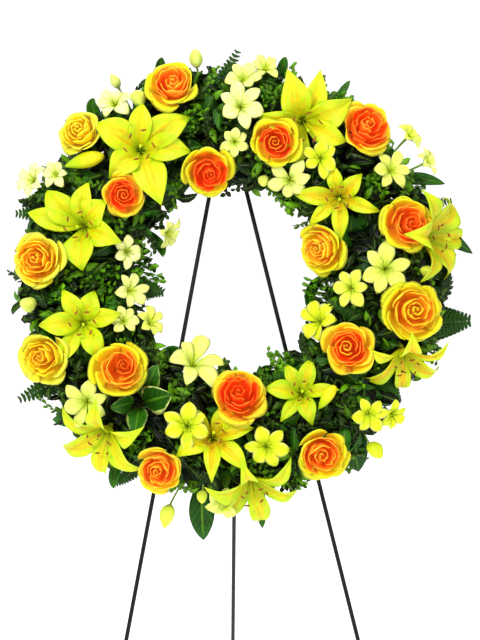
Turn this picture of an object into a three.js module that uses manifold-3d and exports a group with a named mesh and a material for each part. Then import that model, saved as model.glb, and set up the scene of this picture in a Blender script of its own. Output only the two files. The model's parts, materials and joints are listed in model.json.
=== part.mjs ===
// A funeral wreath of roses, lilies and alstroemeria on a foam ring, carried by a folding wire easel.
// Millimetres, +Z up. The wreath faces -Y. The origin is on the floor, under the middle of the bounding box.
import * as THREE from "three";
import { mergeVertices } from "three/addons/utils/BufferGeometryUtils.js";
import Module from "manifold-3d";

const wasm = await Module();
wasm.setup();

// Driving dimensions of the ring: a 508 mm (20 inch) floral foam ring in its plastic tray.
const RING_RADIUS = 220;
const TRAY_WIDTH = 72;
const TRAY_DEPTH = 22;
const TRAY_WALL = 2.5;
const FOAM_HEIGHT = 46;
const MOSS_THICK = 3.5;
const RING_SIDES = 20;
const SECTORS = 6;
const GAP = 0.3;

// How far the shoulders of the foam and the moss are set in: at their sides and on top, and their drop.
const FOAM_SLOPE = { side: 6, top: 19, drop: 11 };
const MOSS_SLOPE = { side: 5, top: 18, drop: 8 };

// Driving dimensions of the easel: 6 mm wire, front legs 1219 mm (48 inches) long, and a rear leg of 889 mm
// (35 inches) that turns on a bar behind the lower part of the ring.
const WIRE = 3;
const LEG_LENGTH = 1219;
const REAR_LENGTH = 889;
const LEG_SPLAY = THREE.MathUtils.degToRad(12.3);
const LEG_TOP_Y = 216;
const LEG_TOP_X = 7.4;
const LEAN = THREE.MathUtils.degToRad(12);
const TOP_TIE_Y = 204;
const HINGE_Y = -215;
const HINGE_SETBACK = 16;
const EYE_CLEARANCE = 0.6;
const REST_REACH = 30;
const REST_LIP = 5;
const LIP_RISE = 3;
const FIT_ROUNDS = 20;
const FLOOR_CUT = 20;
const REST_BEND = 5;
const STAPLE_BEND = 3;
const WIRE_SIDES = 12;
const BENT_SIDES = 6;
const BEND_STEPS = 2;
const EYE_STEPS = 10;

// The wreath hangs turned by this much on its easel, clockwise from the front.
const HANG_TURN = THREE.MathUtils.degToRad(-1.7);

// The bed of flowers is a half ellipse over the ring: this far each side of it, this high above its middle.
const BED_REACH = 105;
const BED_RISE = 72;
const BED_FLOOR = 35;
const BED_TILT = 0.8;
const BED_EDGE = 0.12;
const STEM_DEPTH = 28;
const ROSE_STEM = 2.6;
const LILY_STEM = 2.4;
const SPACING = 0.35;

// A rose, in shares of its width: its foot is this far under the bed's surface, and its green cup, the ball
// that it keeps to itself and the space that nothing else may enter are this wide and high.
const ROSE_FOOT = 0.34;
const CUP_WIDTH = 0.14;
const CUP_HEIGHT = 0.2;
const BALL_HEIGHT = 0.36;
const BALL_RADIUS = 0.54;
const SPACE_RADIUS = 0.585;
const SPACE_HEIGHT = 0.34;
const SPACE_FLATNESS = 0.66;

// A rose's outline from the heart down to its foot, in shares of its width: distance from its axis, height,
// petals round it, how far its rim is lobed, and how far the lobes are turned.
const ROSE_SIDES = 12;
const ROSE_SPIRAL = 1.2;
const ROSE_PROFILE = [
  [0, 0.6, 0, 0, 0],
  [0.07, 0.66, 2, 0.12, 0],
  [0.1, 0.54, 2, 0, 0],
  [0.19, 0.65, 3, 0.14, 2],
  [0.23, 0.48, 3, 0, 2],
  [0.35, 0.6, 4, 0.14, 1],
  [0.36, 0.38, 4, 0, 1],
  [0.5, 0.46, 5, 0.13, 0],
  [0.4, 0.24, 5, 0.05, 0],
  [0, 0, 0, 0, 0],
];

// A lily and a floret, in shares of their reach: how high the petals rise and how far they curl back, their
// half width, where their cross lines stand, the notch between them and the lift of their sides.
const LILY = { rise: 0.52, curl: 0.74, wide: 0.34, rows: [0.4, 0.74], notch: 0.13, cup: 0.25, thick: 1.6 };
const FLORET = { rise: 0.5, curl: 0.62, wide: 0.34, rows: [0.62], notch: 0.26, cup: 0.12, thick: 1.5 };
const LILY_SEAT = 0.08;

// How far their throats stand under the bed's surface.
const LILY_SINK = 40;
const FLORET_SINK = 22;
const NECK_SINK = 0.5;

// The spikes in a lily's throat: the pistil and two stamens.
const SPIKES = 3;
const SPIKE_WIDTH = 1.6;
const PISTIL_HEIGHT = 0.68;
const STAMEN_HEIGHT = 0.6;

// A floret with less reach than this is a closed bud, this wide, standing this far up its stem.
const BUD_REACH = 20.5;
const BUD_WIDTH = 0.6;
const BUD_HEIGHT = 0.9;
const BUD_STEM = 1.7;

// Places are millimetres right of and above the ring's centre, seen from the front.
const ROSES = [
  { at: [-85, 273], size: 70, tint: "orange", spin: 20 },
  { at: [-35, 154], size: 68, tint: "orange", spin: 50 },
  { at: [-153, 120], size: 58, tint: "orange", spin: 5 },
  { at: [59, 193], size: 64, tint: "orange", spin: 80 },
  { at: [185, 214], size: 76, tint: "orange", spin: 33 },
  { at: [241, 81], size: 74, tint: "orange", spin: 61 },
  { at: [125, 45], size: 70, tint: "gold", spin: 15 },
  { at: [249, -43], size: 84, tint: "gold", spin: 40 },
  { at: [161, -94], size: 78, tint: "orange", spin: 70 },
  { at: [125, -241], size: 72, tint: "orange", spin: 12 },
  { at: [8, -161], size: 78, tint: "orange", spin: 55 },
  { at: [-102, -262], size: 66, tint: "orange", spin: 28 },
  { at: [-161, -122], size: 76, tint: "orange", spin: 90 },
  { at: [-270, 28], size: 74, tint: "gold", spin: 45 },
  { at: [-262, -108], size: 72, tint: "yellow", spin: 66 },
  { at: [-214, 207], size: 60, tint: "yellow", spin: 9 },
];

// turns are the directions of the six petals, in degrees; face leans the bloom right and up.
const LILIES = [
  { at: [-130, 182], reach: 76, turns: [0, 45, 100, 152, 222, 290], face: [0, 0.1] },
  { at: [-206, 76], reach: 74, turns: [-18, 40, 82, 128, 170, 262], face: [-0.25, 0] },
  { at: [98, 227], reach: 80, turns: [-20, 27, 71, 114, 170, 240], face: [0, -0.45] },
  { at: [151, 119], reach: 62, turns: [-23, 38, 100, 173, 221, 275], face: [0, 0] },
  { at: [262, 62], reach: 74, turns: [0, 60, 120, 180, 240, 300], face: [1.1, -0.1] },
  { at: [-210, -59], reach: 66, turns: [17, 68, 119, 180, 232, 290], face: [0, 0] },
  { at: [-172, -203], reach: 72, turns: [22, 82, 142, 202, 262, 322], face: [-0.45, -0.75] },
  { at: [-29, -221], reach: 66, turns: [1, 58, 140, 214, 268, 310], face: [0, 0.3] },
  { at: [24, -272], reach: 74, turns: [-10, 50, 110, 170, 230, 290], face: [0.25, -0.9] },
  { at: [98, -161], reach: 54, turns: [8, 68, 126, 176, 236, 286], face: [0, 0.1] },
  { at: [237, -92], reach: 68, turns: [30, 90, 150, 210, 270, 330], face: [0.15, -1.3] },
];

// Each spray is one branching stem; each floret gives its place, its reach and its turn in degrees.
const SPRAYS = [
  [[14, 280, 28, 10], [10, 242, 33, 40], [46, 297, 22, 0], [2, 195, 23, 25]],
  [[80, 143, 30, 15], [44, 145, 14, 0]],
  [[122, 172, 28, 35]],
  [[220, 154, 28, 5], [248, 203, 24, 30], [273, 168, 22, 50]],
  [[213, 17, 36, 20], [167, -10, 28, 0], [268, 14, 15, 20]],
  [[125, -58, 32, 45]],
  [[-165, 246, 27, 12], [-130, 250, 20, 40], [-161, 275, 13, 0]],
  [[-277, 140, 27, 25], [-246, 148, 22, 0]],
  [[-280, -32, 20, 30]],
  [[-147, -14, 26, 10], [-119, -60, 24, 35], [-155, -57, 22, 55]],
  [[-203, -168, 34, 15]],
  [[-57, -120, 40, 5]],
  [[-64, -203, 34, 30]],
  [[46, -231, 32, 50]],
  [[-15, -304, 28, 20], [-42, -297, 14, 0], [-88, -318, 20, 40]],
  [[189, -185, 28, 0], [223, -186, 22, 30], [195, -231, 20, 15]],
  [[-151, 42, 24, 20], [-95, 73, 24, 45]],
  [[-50, 304, 18, 15]],
];

// Leaves seen in the outline: root and tip in the ring's plane, half width, and the tip's distance forward.
const BROAD_LEAVES = [
  [[238, 156], [304, 139], 9, 40],
  [[-46, -300], [-40, -368], 18, 30],
  [[165, -206], [181, -271], 21, 34],
  [[-119, -165], [-98, -128], 15, 74],
  [[-115, -176], [-78, -181], 15, 70],
  [[-127, -181], [-139, -218], 15, 66],
  [[-134, -168], [-172, -176], 13, 62],
  [[-205, -196], [-255, -196], 12, 26],
  [[98, 14], [112, -50], 8, 52],
  [[160, 45], [170, 95], 20, 60],
  [[190, 120], [215, 118], 13, 66],
  [[70, 300], [76, 319], 7, 44],
  [[-105, 295], [-99, 318], 8, 40],
  [[-205, 238], [-195, 259], 9, 46],
  [[150, 262], [168, 286], 5, 40],
  [[-170, -262], [-168, -294], 8, 30],
  [[40, -300], [44, -352], 8, 24],
  [[270, 90], [345, 40], 12, 30],
  [[-85, 128], [-68, 122], 9, 52],
  [[80, 110], [120, 92], 11, 50],
  [[30, -118], [60, -122], 6, 54],
  [[-85, -80], [-64, -118], 11, 46],
  [[-95, 60], [-98, 34], 7, 50],
];

// Fern fronds: root and tip, half width at the root, and the tip's distance forward.
const FRONDS = [
  [[262, -70], [342, -64], 32, 30],
  [[-32, 250], [8, 327], 22, 44],
  [[-235, 100], [-306, 96], 24, 34],
  [[-225, -130], [-302, -168], 26, 26],
  [[-160, -2], [-98, -16], 26, 56],
  [[205, -120], [236, -165], 26, 40],
  [[255, 105], [314, 116], 16, 34],
  [[-125, -262], [-168, -290], 18, 24],
];

// Filler leaves: drawn round the ring from this seed.
const FILLERS = 18;
const FILLER_SEED = 4711;
const FROND_PAIRS = 6;
const LEAF_SINK = 52;
const LEAF_BOW = 9;
const LEAF_THICK = 1.4;
const STALK = 0.24;
const STALK_WIDTH = 1.4;
const SLIM_LEAF = 10;
const FROND_RIB = 1.6;
const FROND_THICK = 1.2;
const FROND_DROOP = 0.006;

const MATERIALS = {
  orange: new THREE.MeshStandardMaterial({ color: 0xf4721c, roughness: 0.55, metalness: 0 }),
  gold: new THREE.MeshStandardMaterial({ color: 0xf8a526, roughness: 0.55, metalness: 0 }),
  yellow: new THREE.MeshStandardMaterial({ color: 0xf3e12a, roughness: 0.55, metalness: 0 }),
  lily: new THREE.MeshStandardMaterial({ color: 0xf1e01a, roughness: 0.5, metalness: 0 }),
  cream: new THREE.MeshStandardMaterial({ color: 0xe9f07a, roughness: 0.5, metalness: 0 }),
  leaf: new THREE.MeshStandardMaterial({ color: 0x234d12, roughness: 0.5, metalness: 0 }),
  foam: new THREE.MeshStandardMaterial({ color: 0x1f4a22, roughness: 0.95, metalness: 0 }),
  tray: new THREE.MeshStandardMaterial({ color: 0x16301c, roughness: 0.5, metalness: 0 }),
  wire: new THREE.MeshStandardMaterial({ color: 0x16251c, roughness: 0.4, metalness: 0.3 }),
};

const degrees = THREE.MathUtils.degToRad;
const vector = (x, y, z) => new THREE.Vector3(x, y, z);

// A closed three.js geometry as a solid, its faces turned outwards.
function solid(geometry) {
  const bare = geometry.index ? geometry.toNonIndexed() : geometry.clone();
  bare.deleteAttribute("normal");
  bare.deleteAttribute("uv");
  const merged = mergeVertices(bare, 1e-4);
  const make = (triVerts) =>
    new wasm.Manifold(
      new wasm.Mesh({ numProp: 3, vertProperties: merged.attributes.position.array, triVerts }),
    );
  const triVerts = new Uint32Array(merged.index.array);
  const made = make(triVerts);
  return made.volume() >= 0 ? made : make(triVerts.reverse());
}

function geometryOf(made) {
  const mesh = made.getMesh();
  return new THREE.BufferGeometry()
    .setAttribute("position", new THREE.BufferAttribute(new Float32Array(mesh.vertProperties), 3))
    .setIndex(new THREE.BufferAttribute(new Uint32Array(mesh.triVerts), 1));
}

function meshOf(name, made, material) {
  const mesh = new THREE.Mesh(geometryOf(made), material);
  mesh.name = name;
  return mesh;
}

const joined = (solids) => solids.reduce((all, one) => all.add(one));

// The largest body of a solid: loose scraps are dropped.
function largest(made) {
  return made.decompose().reduce((best, one) => (one.volume() > best.volume() ? one : best));
}

function boxesMeet(a, b) {
  return [0, 1, 2].every((k) => a.min[k] < b.max[k] && b.min[k] < a.max[k]);
}

function cutBy(made, others) {
  const box = made.boundingBox();
  return others
    .filter((other) => boxesMeet(box, other.boundingBox()))
    .reduce((rest, other) => rest.subtract(other), made);
}

// A rose head keeps its neighbours out of a ball round its widest part.
const balls = [];

function pushedClear(point) {
  for (const ball of balls) {
    const away = point.clone().sub(ball.centre);
    const distance = away.length();
    if (distance < ball.radius) point.copy(ball.centre).addScaledVector(away, ball.radius / distance);
  }
  return point;
}

// A thin blade along a path: a four-cornered section, sharp at both sides, that closes to a point at the tip.
// half gives its half width from root to tip, and cup lifts its sides over its rib. A grown blade, the space
// for cutting others, is much wider, so that it is thick enough at the blade's own sides.
function blade({ path, up, half, thick, cup = 0, steps = 3, grow = 0, clear = true }) {
  const cone = new THREE.ConeGeometry(1, 1, 4, steps);
  const place = cone.attributes.position;
  const keep = clear ? pushedClear : (point) => point;
  for (let i = 0; i < place.count; i++) {
    const t = place.getY(i) + 0.5;
    const ring = 1 - t;
    const side = ring > 1e-6 ? Math.round(place.getX(i) / ring) : 0;
    const lift = ring > 1e-6 ? Math.round(place.getZ(i) / ring) : 0;
    const onCap = t < 1e-6 && side === 0 && lift === 0;
    const tangent = path(Math.min(t + 0.02, 1)).sub(path(Math.max(t - 0.02, 0))).normalize();
    const across = tangent.clone().cross(up).normalize();
    const normal = across.clone().cross(tangent);
    const reach = half(t) + 8 * grow;
    const point = path(t).addScaledVector(across, side * reach);
    point.addScaledVector(normal, side ? cup * reach : 0);
    if (t > 1 - 1e-6) point.addScaledVector(tangent, grow);
    keep(point);
    if (!onCap) point.addScaledVector(normal, lift * (thick / 2 + grow));
    place.setXYZ(i, point.x, point.y, point.z);
  }
  return solid(cone);
}

// A round rod through points or along a path, with flat ends.
function rod(path, radius, { steps = 1, sides = 5 } = {}) {
  const tube = new THREE.CylinderGeometry(1, 1, 1, sides, steps);
  const place = tube.attributes.position;
  const reach = 0.5 / steps;
  for (let i = 0; i < place.count; i++) {
    const t = place.getY(i) + 0.5;
    const tangent = path(Math.min(t + reach, 1)).sub(path(Math.max(t - reach, 0))).normalize();
    const across = tangent.clone().cross(vector(0.31, 0.87, 0.38)).normalize();
    const normal = across.clone().cross(tangent);
    const point = path(t);
    point.addScaledVector(across, place.getX(i) * radius);
    point.addScaledVector(normal, place.getZ(i) * radius);
    place.setXYZ(i, point.x, point.y, point.z);
  }
  return solid(tube);
}

const line = (a, b) => (t) => a.clone().lerp(b, t);

// A bow from a to b that bends towards a middle point.
const bow = (a, middle, b) => (t) => new THREE.QuadraticBezierCurve3(a, middle, b).getPoint(t);

// Where a bloom stands on the bed: a point over the ring and the way it faces.
function standing([x, y], face = [0, 0], sink = 0) {
  const radius = Math.hypot(x, y);
  const out = vector(x / radius, y / radius, 0);
  const off = (radius - RING_RADIUS) / BED_REACH;
  const rise = Math.sqrt(Math.max(BED_EDGE, 1 - off ** 2));
  const slope = ((off * BED_RISE) / (rise * BED_REACH)) * BED_TILT;
  const axis = vector(0, 0, 1).addScaledVector(out, slope).add(vector(face[0], face[1], 0)).normalize();
  return { point: vector(x, y, BED_FLOOR + BED_RISE * rise - sink), axis, out };
}

// A frame with its +Z along the axis and its origin at a point.
function frameAt(point, axis) {
  const turn = new THREE.Quaternion().setFromUnitVectors(vector(0, 0, 1), axis);
  return new THREE.Matrix4().compose(point, turn, vector(1, 1, 1));
}

// A rose: nested cups of petals in one turned surface. Each rim is lobed, highest at a petal's middle.
function roseHead(size, spin) {
  const profile = ROSE_PROFILE.map(([r, z]) => new THREE.Vector2(r * size, z * size));
  const head = new THREE.LatheGeometry(profile, ROSE_SIDES);
  const place = head.attributes.position;
  for (let i = 0; i < place.count; i++) {
    const column = Math.floor(i / ROSE_PROFILE.length) % ROSE_SIDES;
    const [r, z, petals, lobe, shift] = ROSE_PROFILE[i % ROSE_PROFILE.length];
    const angle = (column / ROSE_SIDES) * 2 * Math.PI + degrees(spin);
    const across = petals ? (((column + shift) / ROSE_SIDES) * petals) % 1 : 0;
    const swell = lobe * (Math.abs(Math.sin(Math.PI * across)) - 0.6);
    const reach = r * size * (1 + swell + ROSE_SPIRAL * lobe * (across - 0.5));
    place.setXYZ(i, Math.cos(angle) * reach, Math.sin(angle) * reach, z * size * (1 + 0.8 * swell));
  }
  return solid(head);
}

// A plain rounded space round the head, for cutting what would reach into it.
function roseSpace(size) {
  const space = new THREE.SphereGeometry(size * SPACE_RADIUS, 10, 6);
  space.rotateX(Math.PI / 2);
  space.scale(1, 1, SPACE_FLATNESS);
  space.translate(0, 0, size * SPACE_HEIGHT);
  return solid(space);
}

// The green cup under a rose, just clear of it.
function calyx(size, grow = 0) {
  const height = size * CUP_HEIGHT + 3 * grow;
  const cup = new THREE.ConeGeometry(size * CUP_WIDTH + grow, height, 4);
  cup.rotateX(-Math.PI / 2);
  cup.translate(0, 0, -height / 2 - (grow ? 0 : GAP));
  return solid(cup);
}

// A funnel-shaped bloom in one surface: each petal has a rib, two edges and a tip, and the notches between
// petals run down into the throat. Its underside tapers to its end. A grown bloom, the space for cutting
// others, has a blunt rim.
function funnelBloom(frame, { turns, reach, rise, curl, wide, rows, notch, thick, end, cup, grow = 0 }) {
  const axis = vector(0, 0, 1).transformDirection(frame);
  const points = [];
  const faces = [];
  const height = (t) => reach * rise * Math.sin(Math.PI * curl * t);
  const put = (angle, along, side, lift, offset) => {
    const [cos, sin] = [Math.cos(angle), Math.sin(angle)];
    const point = vector(cos * along - sin * side, sin * along + cos * side, lift);
    pushedClear(point.applyMatrix4(frame)).addScaledVector(axis, offset);
    return points.push(point.x, point.y, point.z) / 3 - 1;
  };
  const onRim = (...at) => {
    const upper = put(...at, grow);
    return [upper, grow ? put(...at, -grow) : upper];
  };
  const body = thick / 2 + grow;
  const centre = [put(0, 0, 0, 0, body), points.push(...end) / 3 - 1];
  const gaps = turns.map((turn, k) => (turns[k + 1] ?? turns[0] + 360) - turn);
  const neckReach = reach * notch + 3 * grow;
  const notches = turns.map((turn, k) => onRim(degrees(turn + gaps[k] / 2), neckReach, 0, height(notch)));
  const petals = turns.map((turn, k) => {
    const angle = degrees(turn);
    const inner = k % 2;
    const room = 0.94 * Math.tan(degrees(Math.min(gaps[k], gaps.at(k - 1))) / 2);
    const lines = rows.map((t) => {
      const along = reach * (inner ? 1 : 0.94) * t;
      const full = reach * wide * (inner ? 1 : 0.85) * Math.sin(Math.PI * t ** 1.1) ** 0.7;
      const half = Math.min(full, room * along) + grow;
      const lift = height(t) + cup * half;
      return {
        rib: [put(angle, along, 0, height(t), body), put(angle, along, 0, height(t), -body)],
        clock: onRim(angle, along, -half, lift),
        counter: onRim(angle, along, half, lift),
      };
    });
    const neck = put(angle, neckReach, 0, (height(rows[0]) * notch) / rows[0], -body - NECK_SINK);
    return { lines, neck, tip: onRim(angle, reach * (inner ? 1 : 0.94) + grow, 0, height(1)) };
  });
  const quad = (a, b, c, d) => faces.push(a, b, c, a, c, d);
  petals.forEach(({ lines, neck, tip }, k) => {
    const before = notches.at(k - 1);
    const after = notches[k];
    const first = lines[0];
    const last = lines.at(-1);
    for (const face of [0, 1]) {
      const add = (a, b, c) => faces.push(...(face ? [a, c, b] : [a, b, c]));
      const inmost = face ? neck : first.rib[0];
      add(centre[face], before[face], inmost);
      add(centre[face], inmost, after[face]);
      add(before[face], first.clock[face], first.rib[face]);
      add(first.rib[face], first.counter[face], after[face]);
      for (let j = 1; j < lines.length; j++) {
        const [low, high] = [lines[j - 1], lines[j]];
        add(low.clock[face], high.clock[face], high.rib[face]);
        add(low.clock[face], high.rib[face], low.rib[face]);
        add(low.rib[face], high.rib[face], high.counter[face]);
        add(low.rib[face], high.counter[face], low.counter[face]);
      }
      add(last.clock[face], tip[face], last.rib[face]);
      add(last.rib[face], tip[face], last.counter[face]);
    }
    faces.push(before[1], neck, first.rib[1], neck, after[1], first.rib[1]);
    if (!grow) return;
    const up = lines.map((one) => one.clock);
    const down = lines.map((one) => one.counter).reverse();
    const rim = [before, ...up, tip, ...down, after];
    for (let j = 1; j < rim.length; j++) quad(rim[j - 1][1], rim[j][1], rim[j][0], rim[j - 1][0]);
  });
  const bloom = new THREE.BufferGeometry();
  bloom.setAttribute("position", new THREE.Float32BufferAttribute(points, 3));
  bloom.setIndex(faces);
  return solid(bloom);
}

function lilyFrame(lily) {
  const stand = standing(lily.at, lily.face, LILY_SINK);
  return frameAt(stand.point, stand.axis);
}

function lilyPetals(lily, frame, grow = 0) {
  const end = vector(0, 0, -lily.reach * LILY_SEAT - grow).applyMatrix4(frame);
  return funnelBloom(frame, { ...LILY, turns: lily.turns, reach: lily.reach, end, grow });
}

// The pistil stands up the middle, and the stamens lean out to either side of it.
function lilySpikes(lily, frame, grow = 0) {
  const spikes = [...Array(SPIKES).keys()].map((k) => {
    const angle = k * Math.PI + 0.5;
    const way = vector(Math.cos(angle), Math.sin(angle), 0).multiplyScalar(k ? lily.reach : 0);
    const height = lily.reach * (k ? STAMEN_HEIGHT : PISTIL_HEIGHT);
    const spike = new THREE.ConeGeometry(SPIKE_WIDTH + grow, height + grow, 3);
    const place = spike.attributes.position;
    for (let i = 0; i < place.count; i++) {
      const t = place.getY(i) / (height + grow) + 0.5;
      const point = way.clone().multiplyScalar(0.07 + 0.2 * t);
      point.add(vector(place.getX(i), place.getZ(i), place.getY(i) + height / 2 + 0.02 * lily.reach));
      point.applyMatrix4(frame);
      place.setXYZ(i, point.x, point.y, point.z);
    }
    return solid(spike);
  });
  return joined(spikes);
}

// A floret or a bud. Its underside tapers down to the foot of its spray.
function floret([x, y, reach, turn], foot, grow = 0) {
  const stand = standing([x, y], [0, 0], FLORET_SINK);
  const frame = frameAt(stand.point, stand.axis);
  if (reach < BUD_REACH) {
    const width = reach * BUD_WIDTH + grow;
    const bud = new THREE.SphereGeometry(1, 6, 3);
    bud.rotateX(Math.PI / 2);
    bud.scale(width, width, reach + grow);
    bud.translate(0, 0, reach * BUD_HEIGHT);
    bud.applyMatrix4(frame);
    return joined([solid(bud), rod(line(foot, stand.point), BUD_STEM + grow, { sides: 3 })]);
  }
  const turns = [0, 60, 120, 180, 240, 300].map((step) => step + turn);
  const end = foot.clone().addScaledVector(foot.clone().sub(stand.point).normalize(), 4 * grow);
  return funnelBloom(frame, { ...FLORET, turns, reach, end, grow });
}

// The florets of one spray, joined at their foot.
function florets(list, foot, grow = 0) {
  const knob = new THREE.ConeGeometry(4 + grow, 12 + grow, 4);
  knob.rotateX(Math.PI / 2);
  knob.translate(foot.x, foot.y, foot.z + 6);
  const own = list.length > 1 ? [solid(knob)] : [];
  return joined([...list.map((one) => floret(one, foot, grow)), ...own]);
}

// One branching stem of florets. Its foot is moved along the ring until nothing in the way cuts it apart.
function spray(list, blocked) {
  const middle = list.reduce((sum, [x, y]) => sum.add(vector(x, y, 0)), vector(0, 0, 0));
  let best = null;
  for (const step of [0, 1, -1, 2, -2, 3, -3]) {
    for (const offset of [0, 16, -16]) {
      const angle = Math.atan2(middle.y, middle.x) + step * 0.05;
      const foot = vector(Math.cos(angle), Math.sin(angle), 0).multiplyScalar(RING_RADIUS + offset);
      foot.setZ(FOAM_HEIGHT + MOSS_THICK + 2 * GAP);
      const cut = cutBy(florets(list, foot), blocked);
      const made = largest(cut);
      if (!best || made.volume() > best.made.volume()) best = { made, foot };
      if (made.volume() > 0.999 * cut.volume()) return { made, foot };
    }
  }
  return best;
}

// The ring's own parts: turned sections, drawn as distance from the ring's axis and height over its back.
const INNER = RING_RADIUS - TRAY_WIDTH / 2;
const OUTER = RING_RADIUS + TRAY_WIDTH / 2;

function turned(section, sides = RING_SIDES) {
  const closed = [...section, section[0]].map(([r, z]) => new THREE.Vector2(r, z));
  const ring = new THREE.LatheGeometry(closed, sides);
  ring.rotateX(Math.PI / 2);
  return solid(ring);
}

function trayRing() {
  return turned([
    [INNER, 0],
    [OUTER, 0],
    [OUTER, TRAY_DEPTH],
    [OUTER - TRAY_WALL, TRAY_DEPTH],
    [OUTER - TRAY_WALL, TRAY_WALL],
    [INNER + TRAY_WALL, TRAY_WALL],
    [INNER + TRAY_WALL, TRAY_DEPTH],
    [INNER, TRAY_DEPTH],
  ]);
}

function foamRing(grow = 0) {
  const edge = TRAY_WALL + 2 * GAP - grow;
  return turned([
    [INNER + edge, TRAY_WALL + GAP - grow],
    [OUTER - edge, TRAY_WALL + GAP - grow],
    [OUTER - edge, TRAY_DEPTH + grow / 2],
    [OUTER - edge - FOAM_SLOPE.side, FOAM_HEIGHT - FOAM_SLOPE.drop + grow],
    [OUTER - edge - FOAM_SLOPE.top, FOAM_HEIGHT + grow],
    [INNER + edge + FOAM_SLOPE.top, FOAM_HEIGHT + grow],
    [INNER + edge + FOAM_SLOPE.side, FOAM_HEIGHT - FOAM_SLOPE.drop + grow],
    [INNER + edge, TRAY_DEPTH + grow / 2],
  ]);
}

// The moss over the foam as one full body, before the foam's own space is cut out of it.
function mossRing(grow = 0, base = TRAY_DEPTH + 2 * GAP) {
  return turned([
    [INNER - grow, base],
    [OUTER + grow, base],
    [OUTER - MOSS_SLOPE.side + grow, FOAM_HEIGHT - MOSS_SLOPE.drop + grow],
    [OUTER - MOSS_SLOPE.top + grow, FOAM_HEIGHT + MOSS_THICK + grow],
    [INNER + MOSS_SLOPE.top - grow, FOAM_HEIGHT + MOSS_THICK + grow],
    [INNER + MOSS_SLOPE.side - grow, FOAM_HEIGHT - MOSS_SLOPE.drop + grow],
  ]);
}

// A pie-shaped space that holds one sector of the ring, a little narrower than its share.
function sectorSpace(k) {
  const share = (2 * Math.PI) / SECTORS;
  const inset = 0.4 / RING_RADIUS;
  const shape = new THREE.Shape();
  const far = 3 * RING_RADIUS;
  shape.moveTo(0, 0);
  shape.lineTo(far * Math.cos(k * share + inset), far * Math.sin(k * share + inset));
  shape.lineTo(far * Math.cos((k + 1) * share - inset), far * Math.sin((k + 1) * share - inset));
  shape.closePath();
  return solid(new THREE.ExtrudeGeometry(shape, { depth: 400, bevelEnabled: false }));
}

const sectorOf = ([x, y]) =>
  Math.floor((((Math.atan2(y, x) + 2 * Math.PI) % (2 * Math.PI)) / (2 * Math.PI)) * SECTORS);

// A small repeatable draw from 0 to 1.
function drawsFrom(seed) {
  let state = seed;
  return () => {
    state = (state * 16807) % 2147483647;
    return state / 2147483647;
  };
}

// A leaf's way: a short stalk out of the bed, and then a bow to its tip.
function leafPath([x0, y0], [x1, y1], forward) {
  const start = standing([x0, y0], [0, 0], LEAF_SINK);
  const tip = vector(x1, y1, forward);
  const middle = start.point.clone().lerp(tip, 0.5).add(vector(0, 0, LEAF_BOW));
  const foot = start.out.clone().multiplyScalar(RING_RADIUS).setZ(FOAM_HEIGHT + 1);
  if (start.point.distanceTo(foot) < 8) foot.copy(start.point).setZ(FOAM_HEIGHT + 1);
  const stalk = line(foot, start.point);
  const out = bow(start.point, middle, tip);
  const path = (t) => (t < STALK ? stalk(t / STALK) : out((t - STALK) / (1 - STALK)));
  return { path, up: vector(0, 0, 1).addScaledVector(start.out, 0.3) };
}

function broadLeaf([from, to, width, forward], steps, grow = 0) {
  const { path, up } = leafPath(from, to, forward);
  const half = (t) => {
    const u = Math.max(0, (t - STALK) / (1 - STALK));
    return STALK_WIDTH + (width - STALK_WIDTH) * Math.sin(Math.PI * u ** 0.8) ** 0.9;
  };
  return blade({ path, up, half, thick: LEAF_THICK, cup: 0.2, steps, grow });
}

// A fern frond: one thin arched blade, its outline cut to the rib into paired leaflets.
function frond([from, to, width, forward], grow = 0) {
  const { path, up } = leafPath(from, to, forward);
  const leaflet = (side, k) => {
    const share = (k + 0.5) / FROND_PAIRS;
    const t = STALK + (1 - STALK) * share;
    const taper = (1 - share) ** 0.8 * Math.min(1, 0.55 + 1.5 * share);
    const reach = Math.max(2 * FROND_RIB, width * taper);
    const pitch = (1 - STALK) / FROND_PAIRS;
    return [
      new THREE.Vector2(t - 0.4 * pitch, side * (FROND_RIB + grow)),
      new THREE.Vector2(Math.min(0.97, t + 0.5 * pitch), side * (reach + grow)),
    ];
  };
  const order = [...Array(FROND_PAIRS).keys()];
  const outline = new THREE.Shape([
    new THREE.Vector2(0, -FROND_RIB),
    ...order.flatMap((k) => leaflet(-1, k)),
    new THREE.Vector2(1, 0),
    ...order.reverse().flatMap((k) => leaflet(1, k).reverse()),
    new THREE.Vector2(0, FROND_RIB),
  ]);
  const thick = FROND_THICK + 2 * grow;
  const flat = new THREE.ExtrudeGeometry(outline, { depth: thick, bevelEnabled: false });
  const place = flat.attributes.position;
  for (let i = 0; i < place.count; i++) {
    const t = place.getX(i);
    const side = place.getY(i);
    const tangent = path(Math.min(t + 0.02, 1)).sub(path(Math.max(t - 0.02, 0))).normalize();
    const across = tangent.clone().cross(up).normalize();
    const normal = across.clone().cross(tangent);
    const point = path(t).addScaledVector(across, side);
    point.addScaledVector(normal, -FROND_DROOP * Math.abs(side) ** 1.8);
    pushedClear(point).addScaledVector(normal, place.getZ(i) - thick / 2);
    place.setXYZ(i, point.x, point.y, point.z);
  }
  return solid(flat);
}

// Where the legs run, in the ring's frame: behind the tray, in one plane.
const LEG_Z = -WIRE - GAP;
const legX = (y) => LEG_TOP_X + (LEG_TOP_Y - y) * Math.tan(LEG_SPLAY);

const root = new THREE.Group();
const leaning = new THREE.Group();
const wreath = new THREE.Group();
root.add(leaning);
leaning.add(wreath);
wreath.rotation.z = HANG_TURN;

// The floor meets the legs this far below the ring's centre, measured down their plane.
const FLOOR_Y = LEG_TOP_Y - LEG_LENGTH * Math.cos(LEG_SPLAY);
leaning.rotation.x = Math.PI / 2 - LEAN;
leaning.position.set(0, 0, -FLOOR_Y * Math.cos(LEAN) - LEG_Z * Math.sin(LEAN));
leaning.updateMatrixWorld(true);

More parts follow.
